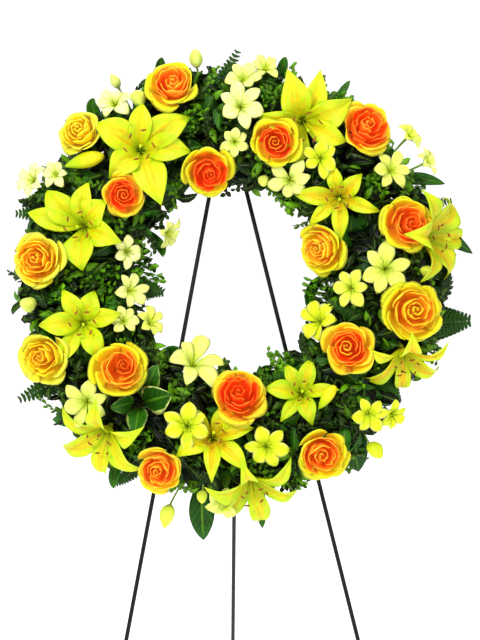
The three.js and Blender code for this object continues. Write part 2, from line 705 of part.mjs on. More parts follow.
function addAll(group, named) {
  named.forEach(([name, made, material]) => group.add(meshOf(name, made, material)));
}

// Everything above the floor: wires are cut off flat there.
function aboveFloor(made) {
  const size = 4000;
  const space = new THREE.BoxGeometry(size, size, size);
  space.translate(0, 0, size / 2);
  return made.intersect(solid(space));
}

const inWorld = (x, y, z) => vector(x, y, z).applyMatrix4(leaning.matrixWorld);

function easelLeg(sign) {
  const top = inWorld(sign * LEG_TOP_X, LEG_TOP_Y, LEG_Z);
  const foot = inWorld(sign * legX(FLOOR_Y - FLOOR_CUT), FLOOR_Y - FLOOR_CUT, LEG_Z);
  return aboveFloor(rod(line(top, foot), WIRE, { sides: WIRE_SIDES }));
}

// A wire bent through corner points, each corner rounded in a few short steps.
function bentWire(points, bend, grow = 0) {
  const route = [points[0]];
  for (let i = 1; i < points.length - 1; i++) {
    const before = points[i].clone().add(points[i - 1].clone().sub(points[i]).setLength(bend));
    const after = points[i].clone().add(points[i + 1].clone().sub(points[i]).setLength(bend));
    route.push(...new THREE.QuadraticBezierCurve3(before, points[i], after).getPoints(BEND_STEPS));
  }
  route.push(points[points.length - 1]);
  const steps = route.length - 1;
  const path = (t) => {
    const i = Math.min(Math.floor(t * steps + 1e-9), steps - 1);
    return route[i].clone().lerp(route[i + 1], t * steps - i);
  };
  return rod(path, WIRE + grow, { steps, sides: BENT_SIDES });
}

// The rest: a cross wire between the legs whose ends turn forward under the ring and end in a lip.
function wreathRest(grow = 0) {
  const beside = (2 * WIRE + GAP) / Math.cos(LEG_SPLAY);
  let y = -OUTER;
  for (let i = 0; i < FIT_ROUNDS; i++) {
    y = -Math.sqrt((OUTER + WIRE + 2 * GAP) ** 2 - (legX(y) - beside) ** 2);
  }
  const x = legX(y) - beside;
  const lip = vector(-x, -y, 0).setLength(REST_LIP).add(vector(x, y, REST_REACH + LIP_RISE));
  const right = [vector(x, y, LEG_Z), vector(x, y, REST_REACH), lip];
  const left = right.map((point) => vector(-point.x, point.y, point.z)).reverse();
  return bentWire([...left, ...right], REST_BEND, grow);
}

// A staple across the backs of the front legs, at one height. The upper one ties the legs together at their
// top, and the rear leg's eye turns on the lower one.
function legStaple(y) {
  const x = legX(y);
  const start = LEG_Z - WIRE - GAP;
  const back = LEG_Z - HINGE_SETBACK;
  const corners = [vector(-x, y, start), vector(-x, y, back), vector(x, y, back), vector(x, y, start)];
  return bentWire(corners, STAPLE_BEND);
}

const hinge = inWorld(0, HINGE_Y, LEG_Z - HINGE_SETBACK);

function rearLeg() {
  const ringRadius = 2 * WIRE + EYE_CLEARANCE;
  const tilt = Math.acos(hinge.z / REAR_LENGTH);
  const down = vector(0, Math.sin(tilt), -Math.cos(tilt));
  const eye = new THREE.TorusGeometry(ringRadius, WIRE, BENT_SIDES, EYE_STEPS);
  eye.rotateY(Math.PI / 2);
  eye.translate(hinge.x, hinge.y, hinge.z);
  const top = hinge.clone().addScaledVector(down, ringRadius);
  const foot = hinge.clone().addScaledVector(down, REAR_LENGTH + FLOOR_CUT);
  const shaft = rod(line(top, foot), WIRE, { sides: WIRE_SIDES });
  return aboveFloor(solid(eye).add(shaft));
}

const numbered = (word, k) => `${word}_${String(k + 1).padStart(2, "0")}`;

// A stem stands in the foam and ends in a bloom's seat.
function stalkTo(seat, at, radius) {
  const root = vector(at[0], at[1], 0).setLength(RING_RADIUS).setZ(FOAM_HEIGHT - STEM_DEPTH);
  const [made, grown] = [0, SPACING].map((grow) => rod(line(root, seat), radius + grow, { sides: 4 }));
  return { at, made, grown };
}

// Roses first: everything else keeps clear of them.
const roses = ROSES.map((rose, k) => {
  const stand = standing(rose.at, [0, 0], 0);
  const frame = frameAt(stand.point.addScaledVector(stand.axis, -rose.size * ROSE_FOOT), stand.axis);
  const centre = vector(0, 0, rose.size * BALL_HEIGHT).applyMatrix4(frame);
  balls.push({ centre, radius: rose.size * BALL_RADIUS + 1 });
  const seat = vector(0, 0, (-rose.size * CUP_HEIGHT) / 2).applyMatrix4(frame);
  const stalk = stalkTo(seat, rose.at, ROSE_STEM);
  stalk.made = stalk.made.add(calyx(rose.size).transform(frame.elements));
  stalk.grown = stalk.grown.add(calyx(rose.size, SPACING).transform(frame.elements));
  const head = roseHead(rose.size, rose.spin).transform(frame.elements);
  return {
    mesh: [numbered("rose", k), head, MATERIALS[rose.tint]],
    space: roseSpace(rose.size).transform(frame.elements),
    stalk,
  };
});

const lilies = LILIES.map((lily, k) => {
  const frame = lilyFrame(lily);
  const seat = vector(0, 0, -lily.reach * LILY_SEAT - 2 * GAP).applyMatrix4(frame);
  return {
    name: numbered("lily", k),
    whole: lilyPetals(lily, frame).add(lilySpikes(lily, frame)),
    grown: lilyPetals(lily, frame, SPACING).add(lilySpikes(lily, frame, SPACING)),
    stalk: stalkTo(seat, lily.at, LILY_STEM),
  };
});

const stalks = [...roses, ...lilies].map((one) => one.stalk);
const mossSpace = mossRing(GAP, 0);
const restSpace = wreathRest(2 * GAP).rotate([0, 0, -THREE.MathUtils.radToDeg(HANG_TURN)]);
const taken = [restSpace, ...roses.map((one) => one.space)];
const stalkSpaces = stalks.map((stalk) => stalk.grown);
const lilyMeshes = lilies.map((one, k) => {
  const earlier = lilies.slice(0, k).map((two) => two.grown);
  const made = largest(cutBy(one.whole, [...taken, ...stalkSpaces, ...earlier]));
  return [one.name, made, MATERIALS.lily];
});
taken.push(...lilies.map((one) => one.grown));

const sprayMeshes = SPRAYS.map((list, k) => {
  const { made, foot } = spray(list, [...taken, ...stalkSpaces, mossSpace]);
  taken.push(florets(list, foot, SPACING));
  return [numbered("alstroemeria", k), made, MATERIALS.cream];
});

// Greenery: a mat of moss over the foam, with the leaves, the fronds and the blooms' stems growing out of it.
// The filler leaves point in turn into the hole, along the ring and outwards.
function fillerLeaves() {
  const draw = drawsFrom(FILLER_SEED);
  return [...Array(FILLERS).keys()].map((k) => {
    const angle = ((k + 0.6 * draw()) / FILLERS) * 2 * Math.PI;
    const way = [-1, 0, 1][k % 3];
    const from = RING_RADIUS + way * (14 + 14 * draw());
    const to = from + way * (58 + 16 * draw());
    const swing = angle + (way ? 0.3 * (draw() - 0.5) : 0.34);
    const root = [from * Math.cos(angle), from * Math.sin(angle)];
    const tip = [to * Math.cos(swing), to * Math.sin(swing)];
    return [root, tip, 15 + 7 * draw(), way ? 14 + 24 * draw() : 62];
  });
}

const leafKinds = [
  [FRONDS, frond],
  [BROAD_LEAVES, (leaf, grow) => broadLeaf(leaf, leaf[2] < SLIM_LEAF ? 3 : 4, grow)],
  [fillerLeaves(), (leaf, grow) => broadLeaf(leaf, 3, grow)],
];
const leaves = leafKinds.flatMap(([list, make]) =>
  list.map((leaf) => ({ at: leaf[0], made: cutBy(make(leaf, 0), taken), grown: make(leaf, SPACING) })),
);

const foamSpace = foamRing(GAP);
const traySpace = turned([
  [INNER - GAP, -BED_REACH],
  [OUTER + GAP, -BED_REACH],
  [OUTER + GAP, TRAY_DEPTH + GAP],
  [INNER - GAP, TRAY_DEPTH + GAP],
]);
const moss = mossRing().subtract(foamSpace);
const grown = [...leaves, ...stalks];
const greenMeshes = [...Array(SECTORS).keys()].map((k) => {
  const inSector = (one) => sectorOf(one.at) === k;
  const earlier = grown.filter((one) => sectorOf(one.at) < k).map((one) => one.grown);
  const others = grown.filter((one) => !inSector(one)).map((one) => one.grown);
  const bed = cutBy(moss.intersect(sectorSpace(k)), [...others, restSpace]);
  const foliage = leaves.filter(inSector).map((one) => cutBy(one.made, [...earlier, foamSpace, traySpace]));
  const stems = stalks.filter(inSector).map((one) => cutBy(one.made, earlier));
  return [`greenery_${k + 1}`, largest(joined([bed, ...foliage, ...stems])), MATERIALS.leaf];
});
const foam = cutBy(foamRing(), stalks.map((one) => one.grown));

addAll(wreath, [
  ["foam_ring", foam, MATERIALS.foam],
  ["ring_tray", trayRing(), MATERIALS.tray],
  ...roses.map((one) => one.mesh),
  ...lilyMeshes,
  ...sprayMeshes,
  ...greenMeshes,
]);
addAll(leaning, [
  ["wreath_rest", wreathRest(), MATERIALS.wire],
  ["top_tie", legStaple(TOP_TIE_Y), MATERIALS.wire],
  ["hinge_staple", legStaple(HINGE_Y), MATERIALS.wire],
]);
addAll(root, [
  ["easel_leg_left", easelLeg(-1), MATERIALS.wire],
  ["easel_leg_right", easelLeg(1), MATERIALS.wire],
  ["easel_leg_rear", rearLeg(), MATERIALS.wire],
]);

// The origin goes under the middle of the whole.
const whole = new THREE.Box3().setFromObject(root, true);
root.position.set(-(whole.min.x + whole.max.x) / 2, -(whole.min.y + whole.max.y) / 2, 0);

export default root;
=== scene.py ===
import json
import math

import bpy
import numpy as np
from mathutils import Matrix, Vector


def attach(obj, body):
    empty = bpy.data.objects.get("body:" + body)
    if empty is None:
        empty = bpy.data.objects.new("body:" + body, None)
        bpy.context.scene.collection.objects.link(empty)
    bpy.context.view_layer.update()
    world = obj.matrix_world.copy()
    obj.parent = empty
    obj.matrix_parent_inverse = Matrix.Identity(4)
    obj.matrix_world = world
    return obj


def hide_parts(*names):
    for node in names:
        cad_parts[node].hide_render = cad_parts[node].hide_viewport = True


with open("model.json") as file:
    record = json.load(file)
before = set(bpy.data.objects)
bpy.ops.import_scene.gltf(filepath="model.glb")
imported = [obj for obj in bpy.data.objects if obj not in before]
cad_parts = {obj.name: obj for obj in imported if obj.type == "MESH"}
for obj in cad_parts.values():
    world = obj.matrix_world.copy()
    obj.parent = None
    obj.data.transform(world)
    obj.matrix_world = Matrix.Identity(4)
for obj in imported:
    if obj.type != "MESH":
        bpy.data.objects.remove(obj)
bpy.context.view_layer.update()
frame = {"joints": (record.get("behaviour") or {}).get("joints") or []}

# Places and sizes of the blooms are millimetres in the wreath's own frame: x to the right, y up along the
# wreath and z out of its face, with the middle at the ring's centre.
wreath = {
    "lean": math.radians(12),
    "hang": math.radians(-1.7),
    "hinge": (0, -215, -19.3),  # the rear leg's hinge, before the wreath's own turn
    "ringRadius": 220,
    "bedReach": 105,
    "bedRise": 72,
    "bedFloor": 35,
    "bedTilt": 0.8,
    "bedEdge": 0.12,
    "sectors": 6,
}


def turnAboutX(angle):
    c, s = math.cos(angle), math.sin(angle)
    return np.array([[1, 0, 0], [0, c, -s], [0, s, c]])


def turnAboutY(angle):
    c, s = math.cos(angle), math.sin(angle)
    return np.array([[c, 0, s], [0, 1, 0], [-s, 0, c]])


def turnAboutZ(angle):
    c, s = math.cos(angle), math.sin(angle)
    return np.array([[c, -s, 0], [s, c, 0], [0, 0, 1]])


easelTurn = turnAboutX(math.pi / 2 - wreath["lean"])
wreathTurn = easelTurn @ turnAboutZ(wreath["hang"])
hingePlace = np.array(frame["joints"][0]["pos_m"])
ringCentre = hingePlace - 0.001 * easelTurn @ np.array(wreath["hinge"])


def fromWreath(points):
    return ringCentre + 0.001 * points @ wreathTurn.T


def fromEasel(points):
    return ringCentre + 0.001 * points @ easelTurn.T


# Camera, light and stage

camera = {"distance": 3.02, "lens": 121.3, "aim": (9.8, -54.6, 80), "turn": math.radians(-2.3)}
lights = {
    "key": {"place": (-1.5, -2.7, 2.9), "size": 0.8, "power": 105},
    "fill": {"place": (2.2, -2.4, 1.5), "size": 2.2, "power": 30},
    "top": {"place": (0.2, -0.4, 3.2), "size": 1.4, "power": 34},
    "back": {"place": (-0.6, 2.4, 2.6), "size": 2.0, "power": 28},
}
ambient = 0.34
stage = {"front": -9.0, "bend": 8.0, "radius": 1.2, "height": 7.5, "side": 10.0}


def addCamera(name, values):
    lens = bpy.data.cameras.new(name)
    lens.lens = values["lens"]
    lens.dof.use_dof = False
    placed = bpy.data.objects.new(name, lens)
    bpy.context.scene.collection.objects.link(placed)
    cameraTurn = wreathTurn @ turnAboutY(values["turn"])
    place = fromWreath(np.array(values["aim"])) + values["distance"] * cameraTurn[:, 2]
    placed.matrix_world = Matrix.Translation(place) @ Matrix(cameraTurn.tolist()).to_4x4()
    bpy.context.scene.camera = placed


def addLights(values, glow):
    for name, one in values.items():
        lamp = bpy.data.lights.new(name, "AREA")
        lamp.energy = one["power"]
        lamp.size = one["size"]
        placed = bpy.data.objects.new(name, lamp)
        placed.location = one["place"]
        away = Vector(one["place"]) - Vector(ringCentre)
        placed.rotation_euler = away.to_track_quat("Z", "Y").to_euler()
        bpy.context.scene.collection.objects.link(placed)
    world = bpy.data.worlds.new("studio")
    world.use_nodes = True
    background = world.node_tree.nodes["Background"].inputs
    background["Color"].default_value = (1, 1, 1, 1)
    background["Strength"].default_value = glow
    bpy.context.scene.world = world


addCamera("camera", camera)
addLights(lights, ambient)
bpy.context.scene.view_settings.view_transform = "Standard"
print("camera and lights are in place")

# Shapes


def unit(vectors):
    return vectors / np.maximum(np.linalg.norm(vectors, axis=-1, keepdims=True), 1e-9)


def mix(a, b, share):
    return a + (b - a) * share


def smooth(low, high, value):
    share = np.clip((value - low) / (high - low), 0, 1)
    return share * share * (3 - 2 * share)


# A colour as it is seen, in shares of 255, as the light it sends back.
def seen(red, green, blue):
    return (np.array([red, green, blue]) / 255) ** 2.2


# Thin closed blades. Each middle surface has rows along and columns across. It is moved half its
# thickness to both sides along its normal, and the two sides meet in its border.
def blades(middle, thick, tint, marks=0.0):
    count, rows, columns, _ = middle.shape
    normal = unit(np.cross(np.gradient(middle, axis=2), np.gradient(middle, axis=1)))
    half = np.zeros((rows, columns, 1))
    half[1:-1, 1:-1] = thick / 2
    top = (middle + normal * half).reshape(count, -1, 3)
    under = (middle - normal * half)[:, 1:-1, 1:-1].reshape(count, -1, 3)
    upper = np.arange(rows * columns).reshape(rows, columns)
    lower = upper.copy()
    inside = np.arange((rows - 2) * (columns - 2)).reshape(rows - 2, columns - 2)
    lower[1:-1, 1:-1] = rows * columns + inside

    def corners(grid):
        four = (grid[:-1, :-1], grid[:-1, 1:], grid[1:, 1:], grid[1:, :-1])
        return np.stack(four, axis=-1).reshape(-1, 4)

    quads = np.concatenate([corners(upper), corners(lower)[:, ::-1]])
    size = top.shape[1] + under.shape[1]
    along, across = np.meshgrid(np.linspace(0, 1, rows), np.linspace(0, 1, columns), indexing="ij")
    place = np.stack([across, along], axis=-1)

    def bothSides(values):
        values = np.broadcast_to(values, (count, rows, columns, values.shape[-1]))
        inner = values[:, 1:-1, 1:-1].reshape(count, -1, values.shape[-1])
        return np.concatenate([values.reshape(count, -1, values.shape[-1]), inner], axis=1)

    marks = np.broadcast_to(np.asarray(marks, float), (count, rows, columns))[..., None]
    return {
        "points": np.concatenate([top, under], axis=1).reshape(-1, 3),
        "quads": (quads[None] + size * np.arange(count)[:, None, None]).reshape(-1, 4),
        "tris": np.zeros((0, 3), int),
        "tint": bothSides(np.asarray(tint)).reshape(-1, 3),
        "marks": bothSides(marks).reshape(-1),
        "place": bothSides(place).reshape(-1, 2),
    }


# Round rods: a circle carried along each path, its radius changing on the way, lobed by a share round the
# circle, and both ends closed by a fan.
def rods(paths, radius, tint, sides=8, lobes=(0, 0.0)):
    count, steps, _ = paths.shape
    radius = np.broadcast_to(radius, (count, steps))[..., None, None]
    tangent = unit(np.gradient(paths, axis=1))
    side = unit(np.cross(tangent, np.array([0.31, 0.87, 0.38])))
    rise = np.cross(side, tangent)
    turn = np.linspace(0, 2 * np.pi, sides, endpoint=False)[None, None, :, None]
    reach = radius * (1 + lobes[1] * np.cos(lobes[0] * turn))
    circle = side[:, :, None] * np.cos(turn) - rise[:, :, None] * np.sin(turn)
    wall = (paths[:, :, None] + circle * reach).reshape(count, -1, 3)
    grid = np.arange(steps * sides).reshape(steps, sides)
    after = np.roll(grid, -1, axis=1)
    quads = np.stack([grid[:-1], grid[1:], after[1:], after[:-1]], axis=-1).reshape(-1, 4)
    first, last = steps * sides, steps * sides + 1
    starts = np.stack([np.full(sides, first), grid[0], after[0]], axis=-1)
    ends = np.stack([np.full(sides, last), after[-1], grid[-1]], axis=-1)
    tris = np.concatenate([starts, ends])
    size = steps * sides + 2
    offset = size * np.arange(count)[:, None, None]
    tint = np.broadcast_to(tint, (count, steps, 3))
    wallTint = np.repeat(tint, sides, axis=1)
    along, across = np.meshgrid(np.linspace(0, 1, steps), np.linspace(0, 1, sides), indexing="ij")
    place = np.concatenate([np.stack([across, along], axis=-1).reshape(-1, 2), [[0.5, 0], [0.5, 1]]])
    return {
        "points": np.concatenate([wall, paths[:, :1], paths[:, -1:]], axis=1).reshape(-1, 3),
        "quads": (quads[None] + offset).reshape(-1, 4),
        "tris": (tris[None] + offset).reshape(-1, 3),
        "tint": np.concatenate([wallTint, tint[:, :1], tint[:, -1:]], axis=1).reshape(-1, 3),
        "marks": np.zeros(count * size),
        "place": np.tile(place, (count, 1)),
    }


# A turned shape: each point of a closed outline, given as distance from the axis and height, goes round
# in a circle.
def turnedRing(outline, sides, tint):
    outline = np.array(outline, float)
    turn = np.linspace(0, 2 * np.pi, sides, endpoint=False)[:, None]
    x = outline[:, 0] * np.cos(turn)
    y = outline[:, 0] * np.sin(turn)
    z = np.broadcast_to(outline[:, 1], x.shape)
    grid = np.arange(x.size).reshape(x.shape)
    nextTurn = np.roll(grid, -1, axis=0)
    nextPoint = np.roll(grid, -1, axis=1)
    both = np.roll(nextTurn, -1, axis=1)
    quads = np.stack([grid, nextTurn, both, nextPoint], axis=-1).reshape(-1, 4)
    along, across = np.meshgrid(np.linspace(0, 1, sides), np.linspace(0, 1, len(outline)), indexing="ij")
    return {
        "points": np.stack([x, y, z], axis=-1).reshape(-1, 3),
        "quads": quads,
        "tris": np.zeros((0, 3), int),
        "tint": np.broadcast_to(tint, (x.size, 3)),
        "marks": np.zeros(x.size),
        "place": np.stack([across, along], axis=-1).reshape(-1, 2),
    }


# Points along cubic Bezier curves with the given four control points.
def bezier(a, b, c, d, share):
    rest = 1 - share
    return rest**3 * a + 3 * rest**2 * share * b + 3 * rest * share**2 * c + share**3 * d


# The smallest turn that takes the z axis to an axis.
def turnTo(axis):
    x, y, z = unit(np.asarray(axis, float))
    k = 1 / (1 + z)
    return np.array([[1 - x * x * k, -x * y * k, x], [-x * y * k, 1 - y * y * k, y], [-x, -y, z]])


# Unit vectors in the ring's plane at the given angles.
def wayAt(angles):
    return np.stack([np.cos(angles), np.sin(angles), 0 * angles], axis=-1)


# The bed's height over the ring, and the way out of its surface: it is a half ellipse over the ring.
def bedAt(x, y):
    radius = np.hypot(x, y)
    off = (radius - wreath["ringRadius"]) / wreath["bedReach"]
    rise = np.sqrt(np.maximum(wreath["bedEdge"], 1 - off**2))
    slope = off * wreath["bedRise"] / (rise * wreath["bedReach"]) * wreath["bedTilt"]
    out = np.stack([x / radius * slope, y / radius * slope, np.ones_like(slope)], axis=-1)
    return wreath["bedFloor"] + wreath["bedRise"] * rise, out


# Where a bloom stands on the bed, and its axis: it leans as the bed slopes there, and further by face.
def standing(at, face=(0, 0), sink=0):
    height, out = bedAt(*np.array(at, float))
    return np.array([*at, height - sink]), unit(out + np.array([*face, 0.0]))


# The point of the ring's middle circle that is nearest to a place, at a height.
def ringPoint(at, height):
    out = np.array(at, float)
    return np.array([*(out / np.hypot(*out) * wreath["ringRadius"]), height])


# Joins shapes into one piece in the frame's metres, gives it its body and its materials, and hides the CAD
# nodes that it stands for. Each entry of shapes is a shape and the number of its material.
def addPiece(name, shapes, materials, nodes, body="stand", place=fromWreath):
    starts = np.cumsum([0] + [len(shape["points"]) for shape, _ in shapes])
    quads = np.concatenate([shape["quads"] + start for (shape, _), start in zip(shapes, starts)])
    tris = np.concatenate([shape["tris"] + start for (shape, _), start in zip(shapes, starts)])
    corners = np.concatenate([quads.ravel(), tris.ravel()])
    faceStart = np.concatenate([4 * np.arange(len(quads)), 4 * len(quads) + 3 * np.arange(len(tris))])
    finish = np.concatenate(
        [np.full(len(shape["quads"]), number) for shape, number in shapes]
        + [np.full(len(shape["tris"]), number) for shape, number in shapes]
    )
    points = place(np.concatenate([shape["points"] for shape, _ in shapes]))
    tint = np.concatenate([shape["tint"] for shape, _ in shapes])
    uv = np.concatenate([shape["place"] for shape, _ in shapes])
    mesh = bpy.data.meshes.new(name)
    mesh.vertices.add(len(points))
    mesh.vertices.foreach_set("co", points.astype(np.float32).ravel())
    mesh.loops.add(len(corners))
    mesh.loops.foreach_set("vertex_index", corners.astype(np.int32))
    mesh.polygons.add(len(faceStart))
    mesh.polygons.foreach_set("loop_start", faceStart.astype(np.int32))
    mesh.polygons.foreach_set("material_index", finish.astype(np.int32))
    mesh.update(calc_edges=True)
    mesh.polygons.foreach_set("use_smooth", np.ones(len(faceStart), bool))
    colour = np.concatenate([np.clip(tint, 0, 1), np.ones((len(tint), 1))], axis=1).astype(np.float32)
    mesh.attributes.new("tint", "FLOAT_COLOR", "POINT").data.foreach_set("color", colour.ravel())
    marks = np.concatenate([shape["marks"] for shape, _ in shapes])
    mesh.attributes.new("marks", "FLOAT", "POINT").data.foreach_set("value", marks.astype(np.float32))
    mesh.uv_layers.new(name="UVMap").data.foreach_set("uv", uv[corners].astype(np.float32).ravel())
    for material in materials:
        mesh.materials.append(material)
    mesh.validate()
    piece = bpy.data.objects.new(name, mesh)
    bpy.context.scene.collection.objects.link(piece)
    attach(piece, body)
    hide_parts(*nodes)


# Finishes


def addNode(tree, kind, **settings):
    node = tree.nodes.new(kind)
    for key, value in settings.items():
        setattr(node, key, value)
    return node


# Feeds a socket from another node's socket, or sets its value.
def feed(tree, socket, value):
    if isinstance(value, bpy.types.NodeSocket):
        tree.links.new(value, socket)
    else:
        socket.default_value = value


def fill(tree, node, **values):
    for key, value in values.items():
        feed(tree, node.inputs[key.replace("_", " ")], value)
    return node


def calculate(tree, operation, *values, clamp=False):
    node = addNode(tree, "ShaderNodeMath", operation=operation, use_clamp=clamp)
    for socket, value in zip(node.inputs, values):
        feed(tree, socket, value)
    return node.outputs[0]


def mixColours(tree, share, first, second):
    node = addNode(tree, "ShaderNodeMix", data_type="RGBA")
    for number, value in ((0, share), (6, first), (7, second)):
        feed(tree, node.inputs[number], value)
    return node.outputs[2]


def shadeColour(tree, colour, shade):
    node = addNode(tree, "ShaderNodeVectorMath", operation="SCALE")
    feed(tree, node.inputs[0], colour)
    feed(tree, node.inputs["Scale"], shade)
    return node.outputs[0]


def spread(tree, value, low, high, newLow=0.0, newHigh=1.0):
    node = addNode(tree, "ShaderNodeMapRange", interpolation_type="SMOOTHSTEP")
    for socket, one in zip(node.inputs, (value, low, high, newLow, newHigh)):
        feed(tree, socket, one)
    return node.outputs[0]


def noise(tree, scale, detail):
    spot = addNode(tree, "ShaderNodeTexCoord").outputs["Object"]
    node = fill(tree, addNode(tree, "ShaderNodeTexNoise"), Vector=spot, Scale=scale, Detail=detail)
    return node.outputs["Fac"]


def startGroup(name, inputs, outputs):
    group = bpy.data.node_groups.new(name, "ShaderNodeTree")
    for label, kind, value in inputs:
        group.interface.new_socket(name=label, in_out="INPUT", socket_type=kind).default_value = value
    for label, kind in outputs:
        group.interface.new_socket(name=label, in_out="OUTPUT", socket_type=kind)
    return group, group.nodes.new("NodeGroupInput").outputs, group.nodes.new("NodeGroupOutput").inputs


surfaceOutputs = [
    ("Colour", "NodeSocketColor"),
    ("Roughness", "NodeSocketFloat"),
    ("Height", "NodeSocketFloat"),
]


# Petals: fine wavering lines along the petal, soft cloudy patches, and dark specks where the marks are.
def petalGroup():
    tree, given, out = startGroup(
        "petalSurface",
        [
            ("Colour", "NodeSocketColor", (1, 1, 1, 1)),
            ("Line Colour", "NodeSocketColor", (1, 0.6, 0.1, 1)),
            ("Speck Colour", "NodeSocketColor", (0.2, 0.05, 0.01, 1)),
            ("Marks", "NodeSocketFloat", 0.0),
            ("Lines", "NodeSocketFloat", 8.0),
            ("Line Share", "NodeSocketFloat", 0.3),
            ("Roughness", "NodeSocketFloat", 0.5),
        ],
        surfaceOutputs,
    )
    uv = addNode(tree, "ShaderNodeUVMap", uv_map="UVMap").outputs[0]
    wave = addNode(tree, "ShaderNodeTexWave", wave_type="BANDS", bands_direction="X")
    fill(tree, wave, Vector=uv, Scale=given["Lines"], Distortion=2.2, Detail=2.0, Detail_Scale=1.4)
    lines = wave.outputs["Fac"]
    clouds = noise(tree, 85.0, 3.0)
    fine = noise(tree, 700.0, 2.0)
    patch = spread(tree, clouds, 0.35, 0.7)
    lineShare = calculate(tree, "MULTIPLY", calculate(tree, "MULTIPLY", lines, patch), given["Line Share"])
    lined = mixColours(tree, lineShare, given["Colour"], given["Line Colour"])
    shaded = shadeColour(tree, lined, spread(tree, clouds, 0.2, 0.8, 0.86, 1.08))
    mapping = fill(tree, addNode(tree, "ShaderNodeMapping"), Vector=uv, Scale=(9, 15, 1))
    dots = fill(tree, addNode(tree, "ShaderNodeTexVoronoi"), Vector=mapping.outputs[0], Scale=1.0)
    dot = spread(tree, dots.outputs["Distance"], 0.24, 0.12)
    speckShare = calculate(tree, "MULTIPLY", dot, given["Marks"], clamp=True)
    tree.links.new(mixColours(tree, speckShare, shaded, given["Speck Colour"]), out["Colour"])
    tree.links.new(calculate(tree, "MULTIPLY_ADD", fine, 0.2, given["Roughness"]), out["Roughness"])
    height = calculate(tree, "MULTIPLY_ADD", lines, 0.6, calculate(tree, "MULTIPLY", fine, 0.4))
    tree.links.new(height, out["Height"])
    return tree


# Leaves: a pale midrib, side veins that run forward from it, and patchy light and dark green.
def leafGroup():
    tree, given, out = startGroup(
        "leafSurface",
        [
            ("Colour", "NodeSocketColor", (0, 1, 0, 1)),
            ("Vein Colour", "NodeSocketColor", (0.2, 0.4, 0.1, 1)),
            ("Edge Colour", "NodeSocketColor", (0.2, 0.4, 0.1, 1)),
            ("Marks", "NodeSocketFloat", 0.0),
            ("Roughness", "NodeSocketFloat", 0.4),
        ],
        surfaceOutputs,
    )
    uv = addNode(tree, "ShaderNodeSeparateXYZ")
    tree.links.new(addNode(tree, "ShaderNodeUVMap", uv_map="UVMap").outputs[0], uv.inputs[0])
    side = calculate(tree, "ABSOLUTE", calculate(tree, "MULTIPLY_ADD", uv.outputs["X"], 2.0, -1.0))
    rib = spread(tree, side, 0.14, 0.02)
    slant = calculate(tree, "MULTIPLY_ADD", side, -0.22, uv.outputs["Y"])
    ripple = calculate(tree, "SINE", calculate(tree, "MULTIPLY", slant, 62.0))
    veins = spread(tree, ripple, 0.72, 1.0)
    clouds = noise(tree, 60.0, 4.0)
    shaded = shadeColour(tree, given["Colour"], spread(tree, clouds, 0.25, 0.75, 0.65, 1.3))
    ribShare = calculate(tree, "MULTIPLY", rib, 0.6)
    veinShare = calculate(tree, "MAXIMUM", ribShare, calculate(tree, "MULTIPLY", veins, 0.16))
    veined = mixColours(tree, veinShare, shaded, given["Vein Colour"])
    wobble = calculate(tree, "MULTIPLY_ADD", clouds, 0.7, side)
    edge = calculate(tree, "MULTIPLY", spread(tree, wobble, 1.12, 1.26), given["Marks"], clamp=True)
    tree.links.new(mixColours(tree, edge, veined, given["Edge Colour"]), out["Colour"])
    tree.links.new(calculate(tree, "MULTIPLY_ADD", clouds, 0.25, given["Roughness"]), out["Roughness"])
    bulge = calculate(tree, "MULTIPLY", ripple, 0.35)
    tree.links.new(calculate(tree, "SUBTRACT", bulge, calculate(tree, "MULTIPLY", rib, 0.8)), out["Height"])
    return tree


# Plain stuffs, such as wire, tray, foam and stems: grain and worn patches of one size.
def grainGroup():
    tree, given, out = startGroup(
        "grainSurface",
        [
            ("Colour", "NodeSocketColor", (1, 1, 1, 1)),
            ("Worn Colour", "NodeSocketColor", (1, 1, 1, 1)),
            ("Scale", "NodeSocketFloat", 100.0),
            ("Wear", "NodeSocketFloat", 0.3),
            ("Roughness", "NodeSocketFloat", 0.5),
        ],
        surfaceOutputs,
    )
    coarse = noise(tree, given["Scale"], 4.0)
    fine = noise(tree, calculate(tree, "MULTIPLY", given["Scale"], 7.0), 2.0)
    worn = calculate(tree, "MULTIPLY", spread(tree, coarse, 0.45, 0.7), given["Wear"])
    tree.links.new(mixColours(tree, worn, given["Colour"], given["Worn Colour"]), out["Colour"])
    tree.links.new(calculate(tree, "MULTIPLY_ADD", coarse, 0.3, given["Roughness"]), out["Roughness"])
    tree.links.new(calculate(tree, "MULTIPLY_ADD", fine, 0.5, coarse), out["Height"])
    return tree


petalSurface, leafSurface, grainSurface = petalGroup(), leafGroup(), grainGroup()


# A material round one surface group. values are the group's inputs, and bump is the height of its relief
# in metres.
def addMaterial(name, group, values, bump, tinted=True, marked=False, **shader):
    material = bpy.data.materials.new(name)
    material.use_nodes = True
    tree = material.node_tree
    principled = tree.nodes["Principled BSDF"]
    surface = addNode(tree, "ShaderNodeGroup", node_tree=group)
    for label, value in values.items():
        surface.inputs[label].default_value = value
    if tinted:
        own = addNode(tree, "ShaderNodeAttribute", attribute_name="tint")
        tree.links.new(own.outputs["Color"], surface.inputs["Colour"])
    if marked:
        own = addNode(tree, "ShaderNodeAttribute", attribute_name="marks")
        tree.links.new(own.outputs["Fac"], surface.inputs["Marks"])
    relief = addNode(tree, "ShaderNodeBump")
    fill(tree, relief, Distance=bump, Strength=0.6, Height=surface.outputs["Height"])
    fill(tree, principled, Base_Color=surface.outputs["Colour"], Roughness=surface.outputs["Roughness"])
    fill(tree, principled, Normal=relief.outputs["Normal"], **shader)
    return material


# A colour as it is seen, as a shader's value.
def paint(red, green, blue):
    return (*seen(red, green, blue), 1.0)


